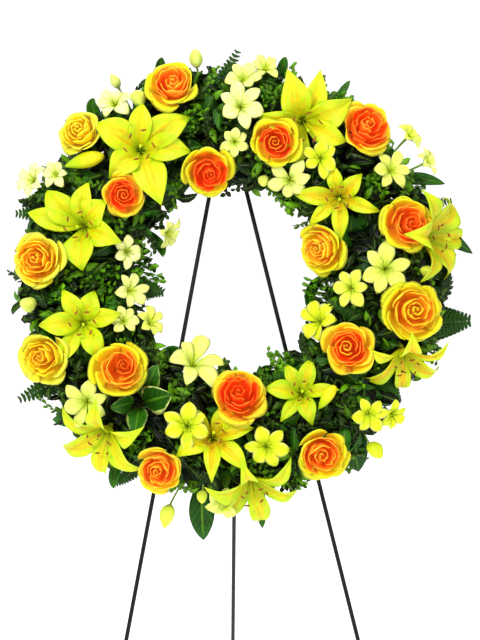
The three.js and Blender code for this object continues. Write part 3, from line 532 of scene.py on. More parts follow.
rosePetal = addMaterial(
    "rosePetal",
    petalSurface,
    {"Line Colour": paint(255, 130, 24), "Lines": 0.9, "Line Share": 0.2, "Roughness": 0.55},
    0.0003,
    Specular_IOR_Level=0.25,
    Subsurface_Weight=0.85,
    Subsurface_Scale=0.007,
    Subsurface_Radius=(1.0, 0.75, 0.2),
    # The emission is painted light: a faint orange-red glow that lifts the shade in the petals' folds, in
    # place of light shining through them.
    Emission_Color=(1.0, 0.22, 0.02, 1.0),
    Emission_Strength=0.09,
)
lilyPetal = addMaterial(
    "lilyPetal",
    petalSurface,
    {
        "Line Colour": paint(236, 158, 10),
        "Speck Colour": paint(120, 52, 10),
        "Lines": 1.1,
        "Line Share": 0.4,
        "Roughness": 0.45,
    },
    0.0009,
    marked=True,
    Specular_IOR_Level=0.3,
    Subsurface_Weight=0.3,
    Subsurface_Scale=0.003,
    Subsurface_Radius=(1.0, 0.9, 0.2),
)
floretPetal = addMaterial(
    "floretPetal",
    petalSurface,
    {"Line Colour": paint(196, 214, 30), "Lines": 0.9, "Line Share": 0.6, "Roughness": 0.5},
    0.0006,
    marked=True,
    Specular_IOR_Level=0.25,
    Subsurface_Weight=0.3,
    Subsurface_Scale=0.003,
    Subsurface_Radius=(1.0, 1.0, 0.5),
)
anther = addMaterial(
    "anther",
    grainSurface,
    {"Worn Colour": paint(176, 112, 20), "Scale": 900.0, "Wear": 0.6, "Roughness": 0.8},
    0.0004,
)
leafBlade = addMaterial(
    "leafBlade",
    leafSurface,
    {
        "Vein Colour": paint(96, 146, 30),
        "Edge Colour": paint(206, 220, 120),
        "Roughness": 0.34,
    },
    0.0006,
    marked=True,
    Specular_IOR_Level=0.22,
)
stemSkin = addMaterial(
    "stemSkin",
    grainSurface,
    {"Worn Colour": paint(96, 130, 40), "Scale": 160.0, "Wear": 0.5, "Roughness": 0.45},
    0.0004,
)
mossMat = addMaterial(
    "mossMat",
    grainSurface,
    {"Worn Colour": paint(44, 70, 14), "Scale": 260.0, "Wear": 0.8, "Roughness": 0.8},
    0.004,
)
foamStuff = addMaterial(
    "foamStuff",
    grainSurface,
    {"Worn Colour": paint(20, 62, 30), "Scale": 900.0, "Wear": 0.6, "Roughness": 0.85},
    0.0012,
)
trayPlastic = addMaterial(
    "trayPlastic",
    grainSurface,
    {"Worn Colour": paint(44, 82, 54), "Scale": 40.0, "Wear": 0.35, "Roughness": 0.35},
    0.0003,
)
wirePaint = addMaterial(
    "wirePaint",
    grainSurface,
    {"Worn Colour": paint(12, 30, 24), "Scale": 120.0, "Wear": 0.4, "Roughness": 0.34},
    0.0002,
    Specular_IOR_Level=0.25,
)
print("finishes are made")

# Roses

roseTones = {
    "red": seen(255, 72, 12),
    "blood": seen(252, 46, 6),
    "coral": seen(255, 122, 30),
    "orange": seen(255, 156, 36),
    "amber": seen(247, 184, 38),
    "gold": seen(234, 207, 32),
    "straw": seen(223, 228, 50),
    "lime": seen(209, 223, 24),
    "pale": seen(216, 229, 60),
}
# Each rose's tones go from the bud over the ring round it to the outer petals and their rims. blush is
# the side that is redder, in degrees, and how much. heart moves the bud off the rose's middle, in shares
# of its size.
roses = [
    {"at": (-85, 273), "size": 70, "spin": 20,
     "heart": (0.05, -0.02), "tones": ("orange", "coral", "amber", "lime"), "blush": (190, 0.7)},
    {"at": (-35, 154), "size": 68, "spin": 50,
     "heart": (0.02, 0.0), "tones": ("red", "blood", "coral", "lime"), "blush": (80, 0.3)},
    {"at": (-153, 120), "size": 58, "spin": 5,
     "heart": (0.0, -0.03), "tones": ("coral", "blood", "coral", "gold"), "blush": (250, 0.4)},
    {"at": (59, 193), "size": 64, "spin": 80,
     "heart": (-0.02, 0.02), "tones": ("orange", "blood", "orange", "lime"), "blush": (100, 0.5)},
    {"at": (185, 214), "size": 76, "spin": 33,
     "heart": (-0.02, 0.02), "tones": ("coral", "red", "coral", "gold"), "blush": (60, 0.3)},
    {"at": (241, 81), "size": 74, "spin": 61,
     "heart": (0.05, 0.0), "tones": ("red", "coral", "orange", "lime"), "blush": (10, 0.6)},
    {"at": (125, 45), "size": 70, "spin": 15,
     "heart": (0.02, 0.04), "tones": ("amber", "amber", "gold", "lime"), "blush": (120, 0.3)},
    {"at": (249, -43), "size": 84, "spin": 40,
     "heart": (0.03, 0.05), "tones": ("gold", "amber", "gold", "lime"), "blush": (0, 0.55)},
    {"at": (161, -94), "size": 70, "spin": 70,
     "heart": (-0.04, 0.02), "tones": ("gold", "red", "amber", "gold"), "blush": (30, 0.3)},
    {"at": (125, -241), "size": 72, "spin": 12,
     "heart": (-0.06, 0.01), "tones": ("orange", "coral", "amber", "lime"), "blush": (310, 0.6)},
    {"at": (8, -161), "size": 78, "spin": 55,
     "heart": (0.0, 0.03), "tones": ("red", "blood", "coral", "gold"), "blush": (90, 0.4)},
    {"at": (-102, -262), "size": 66, "spin": 28,
     "heart": (-0.04, 0.03), "tones": ("orange", "coral", "amber", "gold"), "blush": (320, 0.6)},
    {"at": (-161, -122), "size": 76, "spin": 90,
     "heart": (0.08, 0.05), "tones": ("red", "orange", "amber", "lime"), "blush": (40, 0.55)},
    {"at": (-270, 28), "size": 74, "spin": 45,
     "heart": (-0.04, 0.01), "tones": ("amber", "amber", "gold", "pale"), "blush": (160, 0.25)},
    {"at": (-262, -108), "size": 72, "spin": 66,
     "heart": (0.0, 0.04), "tones": ("amber", "gold", "gold", "pale"), "blush": (0, 0.0)},
    {"at": (-214, 207), "size": 60, "spin": 9,
     "heart": (0.03, 0.02), "tones": ("gold", "gold", "straw", "pale"), "blush": (20, 0.1)},
]
# A rose's rings of petals from its heart out, in shares of its size: how many, how far their rims stand
# out and up, their half angles in radians, and how far the rims roll back. Each pair goes from a ring's
# first petal to its last.
roseRings = [
    {"count": 5, "reach": (0.025, 0.16), "height": (0.6, 0.61), "spread": (2.1, 1.3), "roll": (0.0, 0.1)},
    {"count": 8, "reach": (0.21, 0.38), "height": (0.64, 0.56), "spread": (1.15, 0.8), "roll": (0.1, 0.7)},
    {"count": 8, "reach": (0.42, 0.52), "height": (0.5, 0.4), "spread": (0.82, 0.72), "roll": (0.7, 1.4)},
]
roseShape = {
    "rows": 13,
    "columns": 11,
    "step": math.radians(137.5),
    "thick": 1.1,
    "foot": 0.34,  # how far the foot is under the point on the bed, in shares of the size
    "core": 0.36,  # the middle of a ball round the bloom over its foot, and the ball's radius
    "ball": 0.54,
}


def roseFrame(rose):
    point, axis = standing(rose["at"])
    return point - axis * rose["size"] * roseShape["foot"], turnTo(axis)


# One value for each petal of a rose, from the pairs of its rings.
def overRings(label):
    return np.concatenate([np.linspace(*ring[label], ring["count"]) for ring in roseRings])[:, None, None]


# Petals of a rose from its heart out, one golden turn after another. A petal's midline is a Bezier curve
# from the foot over its belly to the rim. Its angle is the half angle times u, one edge stands further
# out than the other, the rim's corners fall away, its middle is notched, the rims of the heart are
# crumpled, and the outer ones roll back and wave.
def rosePetals(rose, draw):
    values, size = roseShape, rose["size"]
    ring = np.concatenate([np.full(one["count"], k) for k, one in enumerate(roseRings)])[:, None, None]
    count = len(ring)
    v = np.linspace(0, 1, values["rows"])[None, :, None]
    u = np.linspace(-1, 1, values["columns"])[None, None, :]
    jitter = draw.normal(0, 1, (9, count, 1, 1))
    outer = ring / 2
    reach = overRings("reach") * (1 + 0.05 * jitter[0])
    height = overRings("height") * (1 + 0.035 * jitter[1])
    spreadOut = overRings("spread") * (1 + 0.1 * jitter[2])
    roll = overRings("roll") * (1 + 0.3 * jitter[3])
    rim = v * (1 - (0.1 + 0.1 * outer) * np.abs(u) ** 2.6)
    belly = reach * (1.02 - 0.2 * outer)
    r = bezier(0.02, belly * 0.9, reach * (1.08 - 0.12 * outer), reach * (0.86 + 0.12 * outer), rim)
    z = bezier(0.02, 0.06 + 0.06 * (1 - outer), height * (0.7 + 0.1 * outer), height, rim)
    rolled = np.clip(rim - 0.72, 0, 1) ** 2
    r = r + 0.75 * roll * rolled * (1 - 0.25 * np.abs(u))
    z = z - 0.85 * roll * rolled
    wave = v**4 * (0.7 + 0.3 * outer)
    r = r + 0.02 * wave * np.sin((9 - 5 * outer) * u + 3 * jitter[4])
    z = z + 0.022 * wave * np.sin((10 - 4.5 * outer) * u + 3 * jitter[5])
    z = z - 0.03 * v**6 * np.exp(-((u / 0.2) ** 2)) * (jitter[6] > -0.3) * outer
    r = r + u * (0.012 + 0.02 * outer) * np.sin(np.pi * np.minimum(v, 0.9) * 0.55)
    angle = np.arange(count)[:, None, None] * values["step"] + math.radians(rose["spin"]) + 0.2 * jitter[7]
    angle = angle + spreadOut * u * (0.45 + 0.55 * np.sin(np.pi / 2 * np.minimum(1, v * 1.6)))
    off = (np.array(rose["heart"]) + 0.012 * draw.normal(0, 1, 2)) * (1 - outer[..., None])
    local = np.stack([r * np.cos(angle), r * np.sin(angle), z + 0 * angle], axis=-1)
    local[..., :2] += off * smooth(0, 0.5, v)[..., None]
    local = size * local
    bud, inside, wide, edge = (roseTones[tone] for tone in rose["tones"])
    rimShare = (rim + 0 * angle)[..., None]
    ring = (ring + 0 * angle)[..., None]
    colour = mix(inside, bud, 0.8 * smooth(0.5, 0.9, rimShare))
    colour = np.where(ring > 0.5, mix(inside, wide, 0.55 * smooth(0.7, 1.0, rimShare)), colour)
    colour = np.where(ring > 1.5, mix(wide, edge, smooth(0.25, 0.72, rimShare)), colour)
    colour = mix(colour, roseTones["pale"], 0.6 * smooth(0.9, 1.0, rimShare) * (ring > 1.5))
    side = math.radians(rose["blush"][0])
    towards = (local[..., 0] * math.cos(side) + local[..., 1] * math.sin(side))[..., None] / (0.5 * size)
    blush = rose["blush"][1] * smooth(0.0, 0.7, towards) * np.where(ring > 1.5, 0.25, 0.8)
    colour = mix(colour, roseTones["red"], blush * (1 - 0.6 * smooth(0.6, 1.0, rimShare)))
    colour = colour * (1 + 0.05 * jitter[5][..., None])
    return local, colour


for number, rose in enumerate(roses, 1):
    draw = np.random.default_rng(100 + number)
    foot, turn = roseFrame(rose)
    petals, colour = rosePetals(rose, draw)
    head = blades(foot + petals @ turn.T, roseShape["thick"], colour)
    addPiece(f"rosePetals_{number:02d}", [(head, 0)], [rosePetal], [f"rose_{number:02d}"])
print("roses are made")

# Lilies

lilyTones = {
    "lemon": seen(187, 219, 8),
    "pale": seen(197, 230, 42),
    "lime": seen(166, 208, 6),
    "gold": seen(226, 184, 4),
    "ochre": seen(206, 120, 10),
    # throat is the throat's own green darkened to olive, partly painted shade; the filaments, the pistil and
    # the seat begin in it
    "throat": seen(128, 146, 12),
    "anther": seen(128, 74, 12),
    "bud": seen(214, 204, 14),
}
# turns and lengths are the petals' directions, in degrees, and their lengths in shares of the reach. wide
# is how wide they are in shares of the widest, gilt how far their middles are golden, lime how far their
# sides are green, and specks how far the throat is specked.
lilies = [
    {"at": (-130, 182), "reach": 76, "turns": (0, 36, 90, 150, 226, 290), "face": (0, 0.1),
     "lengths": (0.95, 1.1, 0.85, 0.95, 0.8, 1.15), "wide": 1.0, "gilt": 0.3, "lime": 0.1, "specks": 0.1},
    {"at": (-206, 76), "reach": 74, "turns": (-20, 40, 82, 138, 166, 270), "face": (-0.25, 0),
     "lengths": (0.85, 0.7, 0.85, 1.0, 1.1, 0.85), "wide": 0.95, "gilt": 0.15, "lime": 0.3, "specks": 0.0},
    {"at": (98, 227), "reach": 80, "turns": (-20, 27, 71, 114, 170, 240), "face": (0, -0.45),
     "lengths": (0.8, 0.95, 1.0, 1.0, 0.85, 0.75), "wide": 0.86, "gilt": 0.35, "lime": 0.15, "specks": 0.2},
    {"at": (151, 119), "reach": 62, "turns": (-20, 41, 102, 174, 219, 274), "face": (0, 0),
     "lengths": (1.0, 0.75, 0.85, 1.05, 0.95, 1.0), "wide": 0.66, "gilt": 0.6, "lime": 0.2, "specks": 0.9},
    {"at": (262, 62), "reach": 74, "turns": (0, 60, 120, 180, 240, 300), "face": (1.1, -0.1),
     "lengths": (1, 1, 1, 1, 1, 1), "wide": 0.9, "gilt": 0.4, "lime": 0.25, "specks": 0.1},
    {"at": (-210, -59), "reach": 66, "turns": (17, 68, 119, 182, 240, 300), "face": (0, 0),
     "lengths": (0.85, 0.75, 0.85, 0.95, 1.1, 0.9), "wide": 0.8, "gilt": 0.15, "lime": 0.35, "specks": 0.0},
    {"at": (-172, -203), "reach": 72, "turns": (22, 82, 142, 202, 262, 322), "face": (-0.45, -0.75),
     "lengths": (1, 1, 1, 1, 1, 1), "wide": 0.8, "gilt": 0.25, "lime": 0.3, "specks": 0.1},
    {"at": (-29, -221), "reach": 66, "turns": (1, 58, 140, 212, 268, 312), "face": (0, 0.3),
     "lengths": (0.9, 0.8, 0.85, 0.9, 1.05, 1.1), "wide": 0.76, "gilt": 0.5, "lime": 0.25, "specks": 1.0},
    {"at": (24, -272), "reach": 74, "turns": (-10, 50, 110, 170, 230, 290), "face": (0.25, -0.9),
     "lengths": (1, 1, 1, 1, 1, 1), "wide": 0.76, "gilt": 0.25, "lime": 0.4, "specks": 0.1},
    {"at": (98, -161), "reach": 54, "turns": (4, 70, 122, 174, 238, 286), "face": (0, 0.1),
     "lengths": (1.0, 0.95, 0.9, 1.0, 0.95, 0.9), "wide": 0.8, "gilt": 0.1, "lime": 0.9, "specks": 0.0},
    {"at": (237, -92), "reach": 68, "turns": (30, 90, 150, 210, 270, 330), "face": (0.15, -1.3),
     "lengths": (1, 1, 1, 1, 1, 1), "wide": 0.72, "gilt": 0.75, "lime": 0.0, "specks": 0.2},
]
lilyShape = {
    "rows": 19,
    "columns": 15,
    "sink": 40,
    "rise": 0.52,
    "curl": 0.74,
    "halfWidth": 0.3,
    "rounding": 0.88,
    "fullness": 1.0,
    "thick": 1.2,
    "seat": 0.08,
    "seatGirth": (2.6, 3.6, 4.2, 4.6, 3.0),
}


# A funnel bloom's petals, lying out from the z axis at their turns. Along a petal t the rib rises as
# rise * sin(pi * curl * t) and drops back at the tip, the half width is
# wide * sin(pi * t^rounding)^fullness, the sides are lifted by the cup, the rib is sunk, the edges wave,
# and the petal bends to one side.
def funnelPetals(values, reach, turns, lengths, draw, wideness=1.0):
    count = len(turns)
    t = np.linspace(0.02, 1, values["rows"])[None, :, None]
    u = np.linspace(1, -1, values["columns"])[None, None, :]
    length = np.array(lengths)[:, None, None] * reach
    jitter = draw.normal(0, 1, (6, count, 1, 1))
    inner = (np.arange(count) % 2)[:, None, None]
    wide = values["halfWidth"] * wideness * reach * (0.82 + 0.2 * inner) * (1 + 0.05 * jitter[0])
    half = wide * np.sin(np.pi * np.clip(t, 0, 0.995) ** values["rounding"]) ** values["fullness"]
    half = np.minimum(half, 0.04 * reach + 0.8 * length * t)
    height = values["rise"] * reach * np.sin(np.pi * values["curl"] * t) * (1 + 0.05 * jitter[1])
    height = height - 0.1 * reach * t**5 * (1 + 0.6 * jitter[2]) + 0.012 * reach * inner * np.sin(np.pi * t)
    cup = 0.5 * half * np.abs(u) ** 1.6 * (1 - 0.7 * t)
    groove = 0.035 * reach * np.exp(-((u / 0.2) ** 2)) * np.sin(np.pi * t)
    waves = 0.032 * reach * np.abs(u) ** 2 * np.sin(np.pi * t) * np.sin(10 * t + 4 * jitter[3] + 1.5 * u)
    side = u * half + 0.09 * reach * jitter[4] * t**2.2 * 0.6
    lift = height + cup - groove + waves + 0.05 * jitter[5] * u * half
    way = np.radians(np.array(turns))[:, None, None]
    along = length * t + 0 * u
    x = along * np.cos(way) - side * np.sin(way)
    y = along * np.sin(way) + side * np.cos(way)
    return np.stack([x, y, lift], axis=-1), t + 0 * side, u + 0 * side, jitter


# Six filaments that bend out of the throat, each with an anther across its end, and the pistil with its
# stigma.
def lilyHeart(reach, draw):
    steps = np.linspace(0, 1, 9)
    share = steps[None, :, None]
    way = wayAt(np.radians(np.arange(6) * 60 + 14 + draw.normal(0, 5, 6)))[:, None]
    up = np.array([0.0, 0.0, 1.0])
    length = reach * (0.6 + 0.03 * draw.normal(0, 1, 6))[:, None, None]
    filament = length * (way * (0.06 + 0.36 * share**2) + up * (0.02 + share - 0.1 * share**3))
    cross = unit(np.cross(way, up) + 0.5 * way)
    swing = np.linspace(-1, 1, 7)
    offset = cross * 0.06 * swing[None, :, None] - up * 0.012 * swing[None, :, None] ** 2
    anthers = filament[:, -1:] + reach * offset
    swell = 1.4 * np.sqrt(np.maximum(0.06, 1 - swing**2))
    pistil = reach * (up * 0.7 * share + np.array([0.02, -0.03, 0]) * share**2)
    girth = 1.1 + 1.2 * smooth(0.9, 1.0, steps)
    return [
        (rods(filament, 0.8 - 0.3 * steps, mix(lilyTones["throat"], lilyTones["pale"], share), 6), 0),
        (rods(anthers, swell, lilyTones["anther"], 8), 1),
        (rods(pistil, girth, mix(lilyTones["throat"], lilyTones["lemon"], share), 7), 0),
    ]


# A lily's colours and specks at t along and u across its petals: paler towards the sides, limier at the sides
# and the tip, golden and ochre in streaks beside the rib, and dark olive green in the throat, partly the
# throat's own green and partly painted shade.
def lilyColours(lily, t, u, jitter):
    jitter = jitter[..., None]
    side = np.abs(u)
    colour = mix(lilyTones["lemon"], lilyTones["pale"], 0.5 * smooth(0.25, 0.9, side) * smooth(0.2, 0.7, t))
    colour = mix(colour, lilyTones["lime"], lily["lime"] * (0.35 + 0.65 * smooth(0.2, 0.9, side)))
    band = np.exp(-(((side - 0.14) / 0.36) ** 2)) * smooth(0.05, 0.3, t) * (1 - smooth(0.6, 1.0, t))
    streaks = 0.5 + 0.5 * np.sin(15 * u + 3 * jitter[0] + 2.5 * np.sin(5 * t + 2 * jitter[2]))
    gilt = (0.35 + lily["gilt"]) * band * (0.35 + 0.65 * streaks) * (1 + 0.2 * jitter[1])
    colour = mix(colour, lilyTones["gold"], np.clip(gilt, 0, 1))
    colour = mix(colour, lilyTones["ochre"], np.clip(0.35 * gilt * smooth(0.5, 1.0, streaks), 0, 1))
    colour = mix(colour, lilyTones["ochre"], lily["specks"] * 0.5 * (1 - smooth(0.12, 0.42, t)))
    # painted shade in the throat, over its own green
    colour = mix(colour, lilyTones["throat"], 0.8 * (1 - smooth(0.02, 0.16, t)))
    colour = mix(colour, lilyTones["lime"], 0.4 * smooth(0.86, 1.0, t))
    specks = lily["specks"] * (1 - smooth(0.3, 0.62, t)) * smooth(0.08, 0.2, t)
    return colour * (1 + 0.04 * jitter[3]), specks[..., 0]


# Shapes that are modelled standing on the z axis, turned and moved to their foot.
def placed(shapes, foot, turn):
    for shape, _ in shapes:
        shape["points"] = foot + shape["points"] @ turn.T
    return shapes


for number, lily in enumerate(lilies, 1):
    draw = np.random.default_rng(200 + number)
    reach = lily["reach"]
    point, axis = standing(lily["at"], lily["face"], lilyShape["sink"])
    petals, t, u, jitter = funnelPetals(lilyShape, reach, lily["turns"], lily["lengths"], draw, lily["wide"])
    colour, specks = lilyColours(lily, t[..., None], u[..., None], jitter)
    shapes = [(blades(petals, lilyShape["thick"], colour, specks), 0)] + lilyHeart(reach, draw)
    seat = np.array([[[0, 0, s * reach] for s in np.linspace(-lilyShape["seat"], 0.06, 5)]])
    shapes.append((rods(seat, np.array(lilyShape["seatGirth"]), lilyTones["throat"], 10), 0))
    shapes = placed(shapes, point, turnTo(axis))
    addPiece(f"lilyBloom_{number:02d}", shapes, [lilyPetal, anther], [f"lily_{number:02d}"])
print("lilies are made")

# Sprays of florets

floretTones = {
    "cream": seen(220, 234, 76),
    "white": seen(242, 248, 168),
    "lime": seen(204, 224, 46),
    "yellow": seen(214, 228, 28),
    "throat": seen(140, 168, 24),
    "stalk": seen(110, 150, 40),
}
# Each floret is its place, reach and turn; under 20.5 mm it is a bud.
sprays = [
    [(14, 280, 28, 10), (10, 242, 33, 40), (46, 297, 22, 0), (2, 195, 23, 25)],
    [(80, 143, 30, 15), (44, 145, 14, 0)],
    [(122, 172, 28, 35)],
    [(220, 154, 28, 5), (248, 203, 24, 30), (273, 168, 22, 50)],
    [(213, 17, 36, 20), (167, -10, 28, 0), (268, 14, 15, 20)],
    [(125, -58, 32, 45)],
    [(-165, 246, 27, 12), (-130, 250, 20, 40), (-161, 275, 13, 0)],
    [(-277, 140, 27, 25), (-246, 148, 22, 0)],
    [(-280, -32, 20, 30)],
    [(-147, -14, 26, 10), (-119, -60, 24, 35), (-155, -57, 22, 55)],
    [(-203, -168, 34, 15)],
    [(-57, -120, 40, 5)],
    [(-64, -203, 34, 30)],
    [(46, -231, 32, 50)],
    [(-15, -304, 28, 20), (-42, -297, 14, 0), (-88, -318, 20, 40)],
    [(189, -185, 28, 0), (223, -186, 22, 30), (195, -231, 20, 15)],
    [(-151, 42, 24, 20), (-95, 73, 24, 45)],
    [(-50, 304, 18, 15)],
]
floretShape = {
    "rows": 11,
    "columns": 7,
    "sink": 22,
    "rise": 0.5,
    "curl": 0.66,
    "halfWidth": 0.33,
    "rounding": 1.25,
    "fullness": 0.75,
    "thick": 0.9,
    "bud": 20.5,
    "footHeight": 50,
}
yellowSprays = {3, 6, 13, 14, 16}


# An opening bud: its outline swells and narrows again along the axis, three-lobed where its petals meet.
def budShape(reach, tone):
    share = np.linspace(0, 1, 11)
    path = np.stack([0 * share, 0 * share, reach * (1.85 * share - 0.05)], axis=-1)[None]
    swell = 0.52 * reach * np.sin(np.pi * (0.04 + 0.94 * share) ** 0.8) ** 0.8 + 0.25
    colour = mix(floretTones["throat"], tone, smooth(0.0, 0.35, share)[:, None])[None]
    return rods(path, swell, colour, 12, (3, 0.1))


# A floret with its stamens: its six petals are green in the throat and whiter at their sides.
def floretBloom(reach, first, tone, draw):
    turns = first + 60 * np.arange(6) + draw.normal(0, 7, 6)
    lengths = 1 + 0.1 * draw.normal(0, 1, 6)
    petals, t, u, jitter = funnelPetals(floretShape, reach, turns, lengths, draw)
    t, u = t[..., None], u[..., None]
    colour = mix(floretTones["throat"], tone, smooth(0.0, 0.4, t))
    whiter = 0.5 * smooth(0.5, 1.0, np.abs(u)) * smooth(0.3, 0.8, t)
    colour = mix(colour, floretTones["white"], whiter) * (1 + 0.04 * jitter[2][..., None])
    way = wayAt(np.radians(first + 60 * np.arange(6) + 20))[:, None]
    share = np.linspace(0, 1, 9)[None, :, None]
    stamens = reach * (way * (0.04 + 0.2 * share**2) + np.array([0, 0, 0.55]) * share)
    girth = np.append(np.full(7, 0.45), [0.9, 0.5])
    return [
        (blades(petals, floretShape["thick"], colour), 0),
        (rods(stamens, girth, floretTones["lime"], 5), 0),
    ]


for number, spray in enumerate(sprays, 1):
    draw = np.random.default_rng(300 + number)
    foot = ringPoint(np.mean([one[:2] for one in spray], axis=0), floretShape["footHeight"])
    shapes = []
    for x, y, reach, first in spray:
        point, axis = standing((x, y), sink=floretShape["sink"])
        whiteness = 0.35 - 0.0014 * x + 0.0008 * y + draw.uniform(-0.3, 0.3)
        tone = mix(floretTones["cream"], floretTones["white"], min(max(whiteness, 0), 1))
        if number in yellowSprays:
            tone = floretTones["yellow"]
        opened = reach >= floretShape["bud"]
        share = np.linspace(0, 1, 9)[:, None]
        stalk = bezier(foot, mix(foot, point, 0.5), point - axis * 0.4 * reach, point, share)[None]
        girth = 1.3 + (0.9 if opened else 0.4) * share[:, 0] ** 3
        shapes.append((rods(stalk, girth, floretTones["stalk"], 7), 1))
        if opened:
            bloom = floretBloom(reach, first, tone, draw)
        else:
            bloom = [(budShape(reach, mix(tone, floretTones["lime"], 0.5)), 0)]
        shapes += placed(bloom, point, turnTo(axis))
    name, node = f"floretSpray_{number:02d}", f"alstroemeria_{number:02d}"
    addPiece(name, shapes, [floretPetal, stemSkin], [node])
print("florets are made")

# Greenery

# The near-black green is painted shade: it stands in for the deep shade between the leaves and the blooms. It
# is mixed into the leaves at random and laid on the moss.
greenTones = {
    "shadeBlack": seen(1, 8, 1),
    "dark": seen(6, 28, 2),
    "deep": seen(16, 54, 4),
    "leaf": seen(42, 98, 6),
    "bright": seen(104, 164, 14),
}
# Root and tip in the ring's plane, half width, and how far the tip stands forward.
broadLeaves = [
    ((238, 156), (304, 139), 9, 40), ((-46, -300), (-40, -368), 18, 30),
    ((165, -206), (181, -271), 21, 34), ((-128, -166), (-106, -116), 16, 96),
    ((-128, -170), (-86, -158), 22, 102), ((-130, -172), (-138, -216), 15, 92),
    ((-134, -168), (-172, -178), 13, 84), ((-205, -196), (-255, -196), 12, 26),
    ((98, 14), (112, -50), 8, 52), ((160, 45), (170, 95), 20, 60),
    ((190, 120), (215, 118), 13, 66), ((70, 300), (76, 319), 7, 44),
    ((-105, 295), (-99, 318), 8, 40), ((-205, 238), (-195, 259), 9, 46),
    ((150, 262), (168, 286), 5, 40), ((-170, -262), (-168, -294), 8, 30),
    ((40, -300), (44, -352), 8, 24), ((270, 90), (345, 40), 12, 30),
    ((-85, 128), (-68, 122), 9, 52), ((80, 110), (120, 92), 11, 50),
    ((30, -118), (60, -122), 6, 54), ((-85, -80), (-64, -118), 11, 46),
    ((-95, 60), (-98, 34), 7, 50),
]
# How pale the edges of the rosette's leaves are, by their places in the list.
variegated = {3: 0.4, 4: 1.0, 5: 0.4, 6: 0.2}
fronds = [
    ((256, -62), (340, -56), 40, 34), ((-32, 250), (8, 327), 22, 44),
    ((-235, 100), (-306, 96), 24, 34), ((-225, -130), (-302, -168), 26, 26),
    ((-160, -2), (-98, -16), 26, 56), ((205, -120), (236, -165), 26, 40),
    ((255, 105), (314, 116), 16, 34), ((-125, -262), (-168, -290), 18, 24),
]
greenery = {
    "leafSink": 52,
    "mossTop": 47,
    "stalkFoot": 44,
    "stalkRing": (188, 252),
    "skirtFoot": 43,
    "clearing": 12,  # how far over the moss a clearing begins
    "furthest": 318,  # of all tips from the ring's centre
    "topReach": 20,  # how much further the hole reaches at its top
}
# Tips are the nearest and furthest usual places of the tips from the ring's centre.
# Each set's leaves are tinted at random between its two tones. The near black is painted shade, and the first
# set, which lies deepest, is darkest.
leafSets = [
    {"count": 620, "lengths": (50, 80), "sink": (44, 66), "spreadOut": 68,
     "tips": (140, 280), "slant": 0.22, "width": 0.24, "tones": ("shadeBlack", "dark")},
    {"count": 800, "lengths": (34, 58), "sink": (24, 46), "spreadOut": 80,
     "tips": (126, 292), "slant": 0.32, "width": 0.21, "tones": ("shadeBlack", "leaf")},
    {"count": 950, "lengths": (22, 36), "sink": (16, 40), "spreadOut": 90,
     "tips": (114, 302), "slant": 0.45, "width": 0.17, "tones": ("shadeBlack", "bright")},
]
sprigSet = {"count": 320, "lengths": (44, 72), "sink": (14, 38), "spreadOut": 90,
            "tips": (106, 310), "slant": 0.4, "leaves": 14}
fernSet = {"count": 60, "lengths": (60, 90), "sink": (22, 40), "spreadOut": 88,
           "tips": (116, 304), "slant": 0.25}
# Leaves that hang over the two sides of the tray, from their feet's distance to their tips', in the
# heights of the tips, but not over the rest's two hooks.
skirts = [
    {"count": 260, "foot": 250, "tip": (268, 300), "height": (3, 40)},
    {"count": 150, "foot": 190, "tip": (142, 170), "height": (5, 40)},
]
hookAngle = {"turn": 0.41, "gap": 0.07}
# Places where the filler stays low, so that the leaves there are seen: x, y and radius.
clearings = [(-130, -166, 40), (108, -22, 20), (168, 70, 24), (-232, 168, 20), (-196, 174, 20)]
# Close bright small leaves, each tuft round its place and as wide as its radius.
tufts = [
    (126, -13, 20), (203, -146, 28), (84, -280, 18), (-178, -3, 24), (-126, 4, 24), (206, 140, 18),
    (30, 262, 22), (-60, 230, 20), (-235, -25, 16), (-150, -95, 16), (70, -120, 18), (150, 250, 16),
    (-125, -225, 18),
]
# Lily buds from their narrow end to their tip, their half width, and how far they stand forward.
lilyBuds = [((-234, 160), (-180, 174), 10, 88), ((119, -178), (141, -146), 7, 104)]
stems = {
    "foot": 20,
    "rose": 2.5,
    "lily": 2.3,
    "sepals": 5,
    "cup": (0.05, 0.085, 0.1, 0.1, 0.09, 0.06),  # its radii, in shares of the rose's size
}
# The mat of moss: its section as distance from the middle and height, and its bumps.
moss = {
    "section": [
        (183, 23), (185, 32), (189, 40), (202, 48), (220, 49.5), (238, 48), (251, 40), (255, 32), (257, 23),
    ],
    "rows": 90,
    "columns": 33,
    "thick": 2.5,
    "bump": 1.2,
}


# Points at the shares along cubic Bezier curves, given as four lists of control points.
def curves(line, share):
    return bezier(*(one[:, None] for one in line), share[None, :, None])


# The entries that own picks, of each of a line's lists.
def pick(line, own):
    return [one[own] for one in line]


# Leaves on curved midribs. A midrib is a Bezier curve over the four points of the line, from foot to tip.
# The blade begins after its stalk, with half width width * sin(pi * s^0.8)^0.85 over its own length s.
# Its sides fold up. Its colour is lighter towards the sides and the tip, a painted highlight.
def leafBlades(line, up, width, tint, rows=7, columns=3, stalk=0.25, fold=0.25, thick=0.5, marks=0.0):
    share = np.linspace(0, 1, rows)
    rib = curves(line, share)
    share = share[None, :, None]
    tangent = unit(np.gradient(rib, axis=1))
    across = unit(np.cross(tangent, up[:, None]))
    normal = np.cross(across, tangent)
    s = np.clip((share - stalk) / (1 - stalk), 0, 1)
    half = 0.5 + width[:, None, None] * np.sin(np.pi * s**0.8) ** 0.85
    half = np.where(share > 0.999, 0.15, half)[:, :, None]
    u = np.linspace(-1, 1, columns)[None, None, :, None]
    points = rib[:, :, None] + across[:, :, None] * u * half
    points = points + normal[:, :, None] * (np.abs(u) ** 1.4 * half * fold)
    tint = np.broadcast_to(tint, (len(rib), 3))[:, None, None]
    # painted highlight: the colour grows lighter towards the blade's sides and its tip
    paintedHighlight = 0.85 + 0.3 * np.abs(u) + 0.2 * share[:, :, None]
    return blades(points, thick, tint * paintedHighlight, marks)


